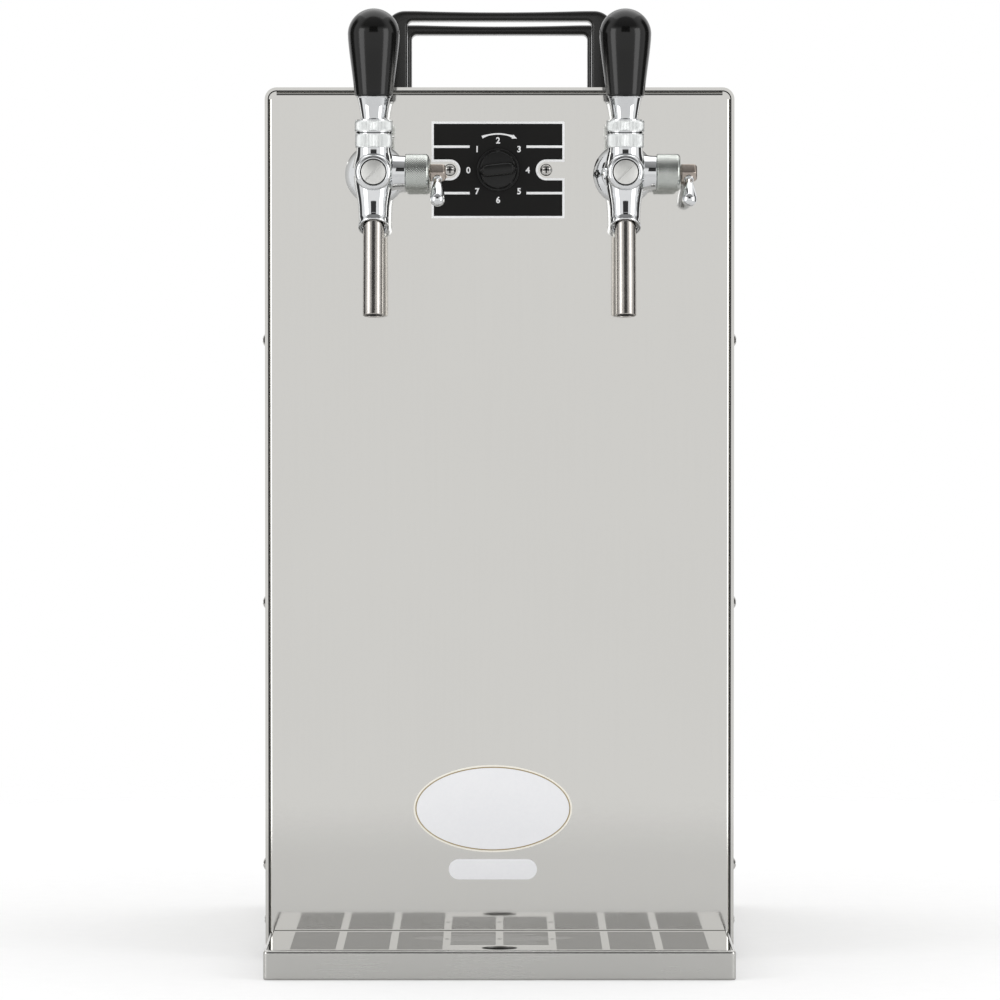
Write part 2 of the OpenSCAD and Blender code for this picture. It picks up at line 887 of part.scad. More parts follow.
module grip_shape() {
    r = grip_d / 2;
    dome = ferrule_top + grip_h - r;
    translate([0, -tap_reach, 0]) difference() {
        union() {
            translate([0, 0, ferrule_top]) cylinder(r1 = grip_foot_r, r2 = r, h = dome - ferrule_top);
            translate([0, 0, dome]) sphere(r);
        }
        translate([0, 0, ferrule_top - 1]) cylinder(r = stud_r + 0.1, h = stud_top - ferrule_top + 2);
    }
}

module valve_shape() {
    yoke = 15;
    yoke_low = 3.2;
    yoke_t = 6.2;
    plunger_l = 4.1;
    seat_gap = 0.4;
    slot_half = 3;
    difference() {
        union() {
            translate([0, seat_gap - joint_u, 0]) rod_y(plunger_r, plunger_l);
            translate([0, -tap_reach, 0]) rod_y(valve_stem_r, tap_reach - joint_u + 2);
            intersection() {
                translate([0, -tap_reach - yoke / 2 + 0.5, 0]) rod_y(valve_r, yoke);
                translate([-yoke, -tap_reach - yoke, -yoke_low]) cube([2 * yoke, 2 * yoke, yoke_t]);
            }
        }
        translate([-slot_half, -tap_reach - tip_r - tip_gap, -yoke])
            cube([2 * slot_half, 2 * (tip_r + tip_gap), 2 * yoke]);
    }
}

module spout_shape() {
    at_spout() translate([0, 0, -spout_l]) linear_extrude(spout_l - spout_start)
        ring(spout_r, spout_r - spout_t);
}

module comp_collar_shape() {
    l = comp_collar_x - boss_x;
    flat_r = comp_collar_r - comp_round;
    translate([boss_x, -comp_u, 0]) difference() {
        rotate([0, 90, 0]) rotate_extrude() {
            square([comp_collar_r, l - comp_round]);
            square([flat_r, l]);
            translate([flat_r, l - comp_round]) intersection() {
                circle(comp_round);
                square(comp_round);
            }
        }
        translate([-1, 0, 0]) rod_x(comp_stem_r + 0.05, l + 2);
    }
}

module comp_lever_shape() {
    translate([0, -comp_u, 0]) {
        translate([comp_stem_x, 0, 0]) rod_x(comp_stem_r, comp_collar_x);
        translate([comp_collar_x + comp_hex_gap, 0, 0]) rotate([0, 90, 0]) rotate([0, 0, 30])
            cylinder(r = comp_hex_r, h = comp_hex_l, $fn = 6);
        translate([comp_lever_x, 0, 0]) rotate([-comp_lever_tilt, 0, 0]) translate([0, 0, -comp_lever_l]) {
            cylinder(r = comp_lever_r, h = comp_lever_l);
            translate([0, 0, 1]) cylinder(r1 = comp_tip_r - 0.25, r2 = comp_lever_r, h = 10);
            sphere(comp_tip_r);
        }
    }
}

module left_tap_shank() {
    color(chrome) at_tap(-1) shank_shape();
}

module left_tap_body() {
    color(chrome) at_tap(-1) body_shape();
}

module left_tap_cap() {
    color(chrome) at_tap(-1) cap_shape();
}

module left_tap_bonnet() {
    color(chrome) at_tap(-1) bonnet_shape();
}

module left_tap_lever() {
    color(chrome) at_tap(-1) lever_shape();
}

module left_tap_ferrule() {
    color(chrome) at_tap(-1) ferrule_shape();
}

module left_tap_handle() {
    color(black) at_tap(-1) grip_shape();
}

module left_tap_valve() {
    color(steel) at_tap(-1) valve_shape();
}

module left_tap_spout() {
    color(chrome) at_tap(-1) spout_shape();
}

module left_compensator_collar() {
    color(chrome) at_tap(-1) comp_collar_shape();
}

module left_compensator_lever() {
    color(chrome) at_tap(-1) comp_lever_shape();
}

module right_tap_shank() {
    color(chrome) at_tap(1) shank_shape();
}

module right_tap_body() {
    color(chrome) at_tap(1) body_shape();
}

module right_tap_cap() {
    color(chrome) at_tap(1) cap_shape();
}

module right_tap_bonnet() {
    color(chrome) at_tap(1) bonnet_shape();
}

module right_tap_lever() {
    color(chrome) at_tap(1) lever_shape();
}

module right_tap_ferrule() {
    color(chrome) at_tap(1) ferrule_shape();
}

module right_tap_handle() {
    color(black) at_tap(1) grip_shape();
}

module right_tap_valve() {
    color(steel) at_tap(1) valve_shape();
}

module right_tap_spout() {
    color(chrome) at_tap(1) spout_shape();
}

module right_compensator_collar() {
    color(chrome) at_tap(1) comp_collar_shape();
}

module right_compensator_lever() {
    color(chrome) at_tap(1) comp_lever_shape();
}

module shank_nuts() {
    color(steel) for (s = [-1, 1]) at_tap(s) translate([0, sheet_t, 0]) difference() {
        rotate([-90, 0, 0]) cylinder(r = shank_nut_r, h = shank_nut_l, $fn = 6);
        translate([0, -1, 0]) rod_y(shank_r + 0.1, shank_nut_l + 2);
    }
}

module coupling_nuts() {
    color(chrome) for (s = [-1, 1]) at_tap(s) nut_shape();
}

// Drip tray
module tray_outline(inset) {
    round_rect(tray_w - 2 * inset, tray_real_d - 2 * inset, max(tray_round - inset, tray_round / 2));
}

// Wall of the tray: a skirt outside, the pan's wall inside, and a ledge for the grate that joins them
module tray_wall() {
    difference() {
        linear_extrude(tray_h) tray_outline(0);
        translate([0, 0, -1]) linear_extrude(ledge_z - tray_t + 1) difference() {
            tray_outline(tray_t);
            tray_outline(ledge_w - tray_t);
        }
        translate([0, 0, -1]) linear_extrude(tray_h + 2) tray_outline(ledge_w);
        translate([0, 0, ledge_z]) linear_extrude(tray_h) tray_outline(rim_w);
    }
}

// Part of the tray's plan that one rail takes: its ends are mitred, and a weld seam is left at each
module rail_plan(half_l, half_b) {
    over = 1;
    out_l = half_l + over - weld_seam;
    in_l = half_l - ledge_w - over - weld_seam;
    in_b = half_b - ledge_w - over;
    polygon([[-out_l, half_b + over], [out_l, half_b + over], [in_l, in_b], [-in_l, in_b]]);
}

// The tray is welded from a floor and four rails
module drip_tray() {
    half_l = tray_w / 2;
    half_b = tray_real_d / 2;
    color(steel) translate([0, tray_mid, 0]) {
        linear_extrude(tray_t) tray_outline(ledge_w + weld_seam);
        for (a = [0, 180]) {
            intersection() {
                tray_wall();
                rotate([0, 0, a]) linear_extrude(tray_h) rail_plan(half_l, half_b);
            }
            intersection() {
                tray_wall();
                rotate([0, 0, a + 90]) linear_extrude(tray_h) rail_plan(half_b, half_l);
            }
        }
    }
}

// One patch of slots: rows counted from the back
module patch(x, rows) {
    y = front_y - patch_back - slot_w;
    for (i = [0 : rows - 1]) translate([x - patch_w / 2, y - i * slot_pitch, ledge_z - 1])
        cube([patch_w, slot_w, grate_t + 2]);
}

module drip_grate() {
    color(steel) difference() {
        translate([0, tray_mid, ledge_z]) linear_extrude(grate_t) tray_outline(rim_w + grate_gap);
        for (i = [0 : patch_n - 1]) {
            middle = i == patch_n / 2 - 1 || i == patch_n / 2;
            patch((i - (patch_n - 1) / 2) * patch_pitch, middle ? short_rows : long_rows);
        }
        translate([0, front_y - tray_d + finger_front, ledge_z - 1]) cylinder(d = finger_d, h = grate_t + 2);
        for (i = [-1 : 1]) translate([i * patch_pitch, front_y - peg_back, ledge_z - 1])
            cylinder(r = peg_r, h = grate_t + 2);
    }
}

// Refrigeration
module compressor() {
    flat_r = compressor_r - shell_round;
    color(black) translate([compressor_x, compressor_y, compressor_z]) difference() {
        union() {
            rotate_extrude() {
                square([compressor_r, compressor_h - shell_round]);
                square([flat_r, compressor_h]);
                translate([flat_r, compressor_h - shell_round]) intersection() {
                    circle(shell_round);
                    square(shell_round);
                }
            }
            translate([0, 0, compressor_h * 0.55]) cylinder(r = compressor_r + weld_out, h = weld_h);
            translate([-plate_w / 2, -plate_d / 2, 0]) cube([plate_w, plate_d, plate_t]);
            for (s = [-1, 1]) translate([0, s * stub_off, stub_top - compressor_z - stub_l])
                cylinder(r = s < 0 ? suction_r : coil_r, h = stub_l);
        }
        for (p = seat_spots) {
            translate([p[0] - compressor_x, p[1] - compressor_y, -1])
                cylinder(r = grommet_neck_r + 0.2, h = plate_t + 2);
        }
    }
}

module compressor_grommets() {
    color(black) for (p = seat_spots) translate([p[0], p[1], 0]) {
        translate([0, 0, foot_h - grommet_under]) cylinder(r = stem_r, h = base_t + grommet_under + 1);
        translate([0, 0, floor_z]) cylinder(r = grommet_r, h = compressor_z - floor_z);
        translate([0, 0, compressor_z]) cylinder(r = grommet_neck_r, h = grommet_neck);
        translate([0, 0, compressor_z + grommet_neck])
            cylinder(r1 = grommet_top_r, r2 = grommet_top_r - 1.5, h = grommet_top);
    }
}

module condenser_coil() {
    color(copper) {
        for (i = [0 : coil_rows - 1]) {
            translate([-coil_half, core_y, coil_z0 + i * coil_pitch]) rod_x(coil_r, 2 * coil_half);
        }
        for (i = [0 : coil_rows - 2]) {
            s = i % 2 == 0 ? -1 : 1;
            z = coil_z0 + (i + 0.5) * coil_pitch;
            translate([s * coil_half, core_y, z]) rotate([90, s > 0 ? 90 : -90, 0])
                rotate_extrude(angle = 180) translate([coil_pitch / 2, 0]) circle(coil_r);
        }
        tube([
            [coil_half, core_y, coil_z0], [coil_out, core_y, coil_z0], [coil_out, drier_y, coil_z0],
            [coil_out, drier_y, drier_z]
        ], coil_r, 0, 10);
    }
}

module condenser_fins() {
    color(aluminium) for (i = [0 : fin_n - 1]) {
        short = i == 0 || i == fin_n - 1 ? 0 : 3;
        x = -core_w / 2 + i * (core_w - fin_t) / (fin_n - 1);
        difference() {
            translate([x, core_y - core_d / 2, floor_z + short]) cube([fin_t, core_d, core_h - 2 * short]);
            for (k = [0 : coil_rows - 1]) {
                translate([x - 1, core_y, coil_z0 + k * coil_pitch]) rod_x(coil_r + 0.1, 4);
            }
        }
    }
}

module fan_shroud() {
    color(steel) difference() {
        union() {
            difference() {
                translate([-core_w / 2, shroud_y, floor_z]) cube([core_w, shroud_d, core_h]);
                translate([shroud_t - core_w / 2, shroud_y + shroud_t, floor_z + shroud_t])
                    cube([core_w - 2 * shroud_t, shroud_d, core_h - 2 * shroud_t]);
                translate([0, shroud_y - 1, fan_z]) rod_y(fan_open_r, shroud_t + 2);
            }
            for (a = [45, 135]) translate([0, shroud_y + shroud_t / 2, fan_z]) rotate([0, a, 0])
                cube([2 * fan_open_r + 4, shroud_t, spider_w], center = true);
            translate([0, shroud_y, fan_z]) rod_y(spider_r, shroud_t);
        }
        translate([0, shroud_y - 1, fan_z]) rod_y(fan_shaft_hole + 0.4, shroud_t + 3);
    }
}

module fan_motor() {
    color(dark) difference() {
        union() {
            translate([0, shroud_y - motor_l, fan_z]) rod_y(motor_r, motor_l);
            translate([0, shroud_y - motor_l - bell_l, fan_z]) cone_y(bell_r, motor_r - 4, bell_l);
        }
        translate([0, shroud_y - fan_shaft_in - 0.5, fan_z]) rod_y(fan_shaft_hole, fan_shaft_in + 2);
    }
}

module fan_shaft() {
    color(steel) translate([0, shroud_y - fan_shaft_in, fan_z]) rod_y(fan_shaft_r, fan_shaft_l);
}

module fan_blade() {
    color(dark) translate([0, shroud_y + blade_y, fan_z]) difference() {
        union() {
            translate([0, -hub_l / 2, 0]) rod_y(hub_r, hub_l);
            intersection() {
                for (i = [0 : blade_n - 1]) rotate([0, i * 360 / blade_n, 0]) rotate([blade_turn, 0, 0])
                    translate([hub_r - 4, -blade_t / 2, -blade_w / 2]) cube([fan_r, blade_t, blade_w]);
                translate([0, -blade_room / 2, 0]) rod_y(fan_r, blade_room);
            }
        }
        translate([0, -hub_l / 2 - 1, 0]) rod_y(fan_shaft_r + 0.02, hub_l + 0.5);
    }
}

module filter_drier() {
    color(copper) translate([coil_out, drier_y, drier_z]) {
        cylinder(r1 = coil_r + 0.5, r2 = drier_r, h = drier_end);
        translate([0, 0, drier_end]) cylinder(r = drier_r, h = drier_l - 2 * drier_end);
        translate([0, 0, drier_l - drier_end]) cylinder(r1 = drier_r, r2 = drier_neck_r, h = drier_end);
    }
}

module capillary_line() {
    high = lid_top + capillary_rise;
    start = drier_z + drier_l;
    low = start + 20;
    x = coil_out - capillary_in;
    color(copper) tube([
        [coil_out, drier_y, start], [coil_out, drier_y, low], [x, drier_y, low], [x, drier_y, high],
        [x, capillary_y, high], [capillary_x, capillary_y, high], [capillary_x, capillary_y, block_top]
    ], capillary_r, 0, line_bend);
}

module cooling_block() {
    color(aluminium) translate([box_x - block_w / 2, box_y - block_d / 2, block_z])
        cube([block_w, block_d, block_top - block_z]);
}

module insulation_box() {
    color(foam) difference() {
        translate([box_x - box_w / 2, box_y - box_d / 2, floor_z]) cube([box_w, box_d, block_top - floor_z]);
        translate([box_x - box_w / 2 + wall_t, box_y - box_d / 2 + wall_t, floor_z + wall_t])
            cube([box_w - 2 * wall_t, box_d - 2 * wall_t, block_top]);
        for (p = foot_spots) translate([p[0], p[1], floor_z - 1]) cylinder(r = stem_r + 2, h = 7);
    }
}

module insulation_lid() {
    color(foam) difference() {
        translate([box_x - box_w / 2, box_y - box_d / 2, block_top]) cube([box_w, box_d, wall_t]);
        for (x = beer_xs) translate([x, beer_y, block_top - 1]) cylinder(r = line_r + 0.2, h = wall_t + 2);
        for (x = inlet_xs) translate([x, inlet_y, block_top - 1]) cylinder(r = line_r + 0.2, h = wall_t + 2);
        translate([suction_x, compressor_y - stub_off, block_top - 1])
            cylinder(r = suction_r + 0.2, h = wall_t + 2);
        translate([capillary_x, capillary_y, block_top - 1]) cylinder(r = capillary_r + 0.2, h = wall_t + 2);
    }
}

module suction_line() {
    y = compressor_y - stub_off;
    high = lid_top + suction_rise;
    color(copper) tube([
        [compressor_x, y, stub_top], [compressor_x, y, high], [suction_x, y, high], [suction_x, y, block_top]
    ], suction_r, suction_r - 1, line_bend);
}

module discharge_line() {
    y = compressor_y + stub_off;
    color(copper) tube([
        [compressor_x, y, stub_top], [compressor_x, y, coil_top], [coil_out, y, coil_top],
        [coil_out, core_y, coil_top], [coil_half, core_y, coil_top]
    ], coil_r, coil_r - 1, 10);
}

module beer_lines() {
    shank_end = front_y + shank_in;
    color(chrome) {
        tube([[beer_xs[0], beer_y, block_top], [beer_xs[0], beer_y, tap_z], [beer_xs[0], shank_end, tap_z]],
            line_r, line_bore, line_bend);
        tube([
            [beer_xs[1], beer_y, block_top], [beer_xs[1], beer_y, tap_z], [tap_x, beer_y, tap_z],
            [tap_x, shank_end, tap_z]
        ], line_r, line_bore, line_bend);
        for (x = inlet_xs) {
            tube([[x, inlet_y, block_top], [x, inlet_y, inlet_z], [x, rear_y - inlet_in, inlet_z]],
                line_r, line_bore, line_bend);
        }
    }
}

// Hexagon outside the rear panel and lock nut inside it
module port_nuts(r) {
    rotate([-90, 0, 0]) cylinder(r = r, h = port_hex_l, $fn = 6);
    translate([0, -sheet_t - port_lock_l, 0]) rotate([-90, 0, 0]) cylinder(r = r, h = port_lock_l, $fn = 6);
}

module inlet_fittings() {
    color(black) for (x = inlet_xs) translate([x, rear_y, inlet_z]) difference() {
        union() {
            translate([0, -inlet_in, 0]) rod_y(port_r, inlet_in + fitting_out);
            port_nuts(inlet_hex_r);
            rod_y(inlet_body_r, fitting_out - inlet_end);
        }
        translate([0, fitting_out - inlet_depth, 0]) rod_y(inlet_bore, inlet_depth + 1);
        translate([0, -inlet_in - 1, 0]) rod_y(line_bore, inlet_in + fitting_out);
    }
}

module cord_gland() {
    color(black) translate([gland_x, rear_y, gland_z]) difference() {
        union() {
            translate([0, -gland_in, 0]) rod_y(port_r, gland_in + 4);
            port_nuts(gland_hex_r);
            translate([0, port_hex_l - 1, 0]) cone_y(gland_r, gland_end_r, gland_cone_l);
        }
        translate([0, -gland_in - 1, 0]) rod_y(gland_bore, gland_in + port_hex_l + gland_cone_l + 1);
    }
}

front_panel();
cover();
rear_panel();
base_plate();
feet();
case_screws();
front_handle();
rear_handle();
handle_bolts();
dial_plate();
dial_screws();
thermostat();
thermostat_shaft();
thermostat_knob();
front_badges();
left_tap_shank();
left_tap_body();
left_tap_cap();
left_tap_bonnet();
left_tap_lever();
left_tap_ferrule();
left_tap_handle();
left_tap_valve();
left_tap_spout();
left_compensator_collar();
left_compensator_lever();
right_tap_shank();
right_tap_body();
right_tap_cap();
right_tap_bonnet();
right_tap_lever();
right_tap_ferrule();
right_tap_handle();
right_tap_valve();
right_tap_spout();
right_compensator_collar();
right_compensator_lever();
shank_nuts();
coupling_nuts();
drip_tray();
drip_grate();
compressor();
compressor_grommets();
condenser_coil();
condenser_fins();
fan_shroud();
fan_motor();
fan_shaft();
fan_blade();
filter_drier();
capillary_line();
cooling_block();
insulation_box();
insulation_lid();
suction_line();
discharge_line();
beer_lines();
inlet_fittings();
cord_gland();
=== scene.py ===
"""Looks of a dry beer cooler with two taps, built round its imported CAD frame."""

import logging
import math
from dataclasses import dataclass, field
from enum import Enum
from typing import Any, Callable, Iterable, Sequence

import bpy
from mathutils import Matrix, Vector


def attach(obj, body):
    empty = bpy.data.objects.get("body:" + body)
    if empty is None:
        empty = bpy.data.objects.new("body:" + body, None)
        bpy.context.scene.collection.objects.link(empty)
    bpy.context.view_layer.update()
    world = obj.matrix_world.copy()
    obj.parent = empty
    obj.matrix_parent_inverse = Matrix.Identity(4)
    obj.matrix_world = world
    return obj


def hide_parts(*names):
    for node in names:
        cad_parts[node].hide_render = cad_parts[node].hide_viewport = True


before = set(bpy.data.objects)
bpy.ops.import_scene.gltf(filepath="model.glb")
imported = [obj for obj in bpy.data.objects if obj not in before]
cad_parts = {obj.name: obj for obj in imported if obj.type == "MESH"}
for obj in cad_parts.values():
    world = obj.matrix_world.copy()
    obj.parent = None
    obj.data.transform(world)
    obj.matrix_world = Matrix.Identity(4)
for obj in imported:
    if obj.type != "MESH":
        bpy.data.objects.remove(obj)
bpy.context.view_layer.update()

LOG = logging.getLogger("cooler")
MM = 0.001
FRONT_Y = -144.0
TAU = 2 * math.pi
TIP = 0.01

Point = tuple[float, float]
Triple = tuple[float, float, float]
Colour = tuple[float, float, float]
Ripple = Callable[[float, float], Point]
Test = Callable[[Vector], bool]


class Value:
    """A shader socket that takes part in Python arithmetic."""

    def __init__(self, tree: "Tree", socket: Any) -> None:
        """Holds the tree and the socket that carries the value."""
        self.tree = tree
        self.socket = socket

    def maths(self, operation: str, first: Any, second: Any = 0.0) -> "Value":
        """One Math node of the tree."""
        return self.tree.node("ShaderNodeMath", {"operation": operation}, {0: first, 1: second})

    def __add__(self, other: Any) -> "Value":
        """Sum."""
        return self.maths("ADD", self, other)

    def __radd__(self, other: Any) -> "Value":
        """Sum with the value on the right."""
        return self.maths("ADD", other, self)

    def __sub__(self, other: Any) -> "Value":
        """Difference."""
        return self.maths("SUBTRACT", self, other)

    def __rsub__(self, other: Any) -> "Value":
        """Difference with the value on the right."""
        return self.maths("SUBTRACT", other, self)

    def __mul__(self, other: Any) -> "Value":
        """Product."""
        return self.maths("MULTIPLY", self, other)

    def __rmul__(self, other: Any) -> "Value":
        """Product with the value on the right."""
        return self.maths("MULTIPLY", other, self)

    def __abs__(self) -> "Value":
        """Absolute value."""
        return self.maths("ABSOLUTE", self)

    def step(self, low: float, high: float) -> "Value":
        """Smooth step from 0 at low to 1 at high."""
        limits = {"Value": self, "From Min": low, "From Max": high}
        return self.tree.node("ShaderNodeMapRange", {"interpolation_type": "SMOOTHSTEP"}, limits)

    def band(self, low: float, high: float, soft: float) -> "Value":
        """1 between low and high, 0 outside, with soft edges."""
        return self.step(low - soft, low + soft) - self.step(high - soft, high + soft)

    def mix(self, first: Any, second: Any) -> "Value":
        """Colour that goes from the first to the second as this value goes from 0 to 1."""
        settings = {"data_type": "RGBA"}
        return self.tree.node("ShaderNodeMix", settings, {0: self, 6: first, 7: second}, 2)


class Tree:
    """Node tree of one material or world."""

    def __init__(self, owner: Any) -> None:
        """Empties the owner's node tree and keeps it.

        Args:
            owner: Material or world.
        """
        owner.use_nodes = True
        self.nodes = owner.node_tree.nodes
        self.links = owner.node_tree.links
        self.nodes.clear()

    def node(self, kind: str, settings: dict, sockets: dict, out: Any = 0) -> Value:
        """Makes a node.

        Args:
            kind: Blender's name of the node type.
            settings: Properties of the node, set first.
            sockets: Values or links for its inputs, by name or number.
            out: Name or number of the output that is wanted.

        Returns:
            The wanted output, or an empty value for an output node.
        """
        made = self.nodes.new(kind)
        for key, value in settings.items():
            setattr(made, key, value)
        for key, value in sockets.items():
            if isinstance(value, Value):
                self.links.new(value.socket, made.inputs[key])
            else:
                made.inputs[key].default_value = value
        return Value(self, made.outputs[out] if made.outputs else None)

    def vector(self, operation: str, first: Any, second: Any) -> Value:
        """One Vector Math node."""
        return self.node("ShaderNodeVectorMath", {"operation": operation}, {0: first, 1: second})

    def noise(self, place: Value, scale: float, detail: float) -> Value:
        """Noise between 0 and 1."""
        sockets = {"Vector": place, "Scale": scale, "Detail": detail}
        return self.node("ShaderNodeTexNoise", {}, sockets)


class Grain(Enum):
    """Fine structure of a surface."""

    SMOOTH = "smooth"
    BRUSHED = "brushed"
    MOULDED = "moulded"
    CELLS = "cells"


@dataclass(frozen=True)
class Finish:
    """A procedural finish: its colours are linear, its scales count features in a metre."""

    name: str
    colour: Colour
    stain: Colour
    roughness: float
    metallic: float = 0.0
    grain: Grain = Grain.SMOOTH
    grain_scale: float = 900.0
    grain_stretch: Triple = (1.0, 1.0, 1.0)
    grain_depth: float = 0.00002
    rough_spread: float = 0.08
    blotch_scale: float = 9.0
    wave_scale: float = 5.0
    wave_depth: float = 0.0
    coat: float = 0.0
    specular: float = 0.5
    blotch_share: float = 0.6
    blotch_detail: float = 3.0
    wave_detail: float = 1.0
    smooth_detail: float = 1.0
    coarse_detail: float = 5.0
    tone_span: Point = (0.3, 0.7)

    def material(self) -> bpy.types.Material:
        """Builds the material once, and gives the same one after that.

        Returns:
            The material with its node tree.
        """
        title = f"finish_{self.name}"
        known = bpy.data.materials.get(title)
        if known:
            return known
        made = bpy.data.materials.new(title)
        tree = Tree(made)
        place = tree.node("ShaderNodeTexCoord", {}, {}, "Object")
        blotch = tree.noise(place, self.blotch_scale, self.blotch_detail)
        grain = self.fine_structure(tree, place)
        tone = (blotch * self.blotch_share + grain * (1 - self.blotch_share)).step(*self.tone_span)
        shader = {
            "Base Color": tone.mix((*self.stain, 1), (*self.colour, 1)),
            "Roughness": (blotch + grain - 1.0) * self.rough_spread + self.roughness,
            "Metallic": self.metallic,
            "Coat Weight": self.coat,
            "Specular IOR Level": self.specular,
            "Normal": self.relief(tree, place, grain),
        }
        surface = tree.node("ShaderNodeBsdfPrincipled", {}, shader)
        tree.node("ShaderNodeOutputMaterial", {}, {"Surface": surface})
        return made

    def fine_structure(self, tree: Tree, place: Value) -> Value:
        """Fine structure of the surface.

        Args:
            tree: Tree of the material.
            place: Point on the surface.

        Returns:
            A value between 0 and 1.
        """
        stretched = tree.vector("MULTIPLY", place, self.grain_stretch)
        if self.grain is Grain.CELLS:
            sockets = {"Vector": stretched, "Scale": self.grain_scale}
            return tree.node("ShaderNodeTexVoronoi", {}, sockets, "Distance")
        detail = self.smooth_detail if self.grain is Grain.SMOOTH else self.coarse_detail
        return tree.noise(stretched, self.grain_scale, detail)

    def relief(self, tree: Tree, place: Value, grain: Value) -> Value:
        """Bump of the surface.

        Args:
            tree: Tree of the material.
            place: Point on the surface.
            grain: Fine structure between 0 and 1.

        Returns:
            The bumped normal.
        """
        wave = tree.noise(place, self.wave_scale, self.wave_detail)
        height = grain * self.grain_depth + wave * self.wave_depth
        return tree.node("ShaderNodeBump", {}, {"Strength": 1.0, "Distance": 1.0, "Height": height})


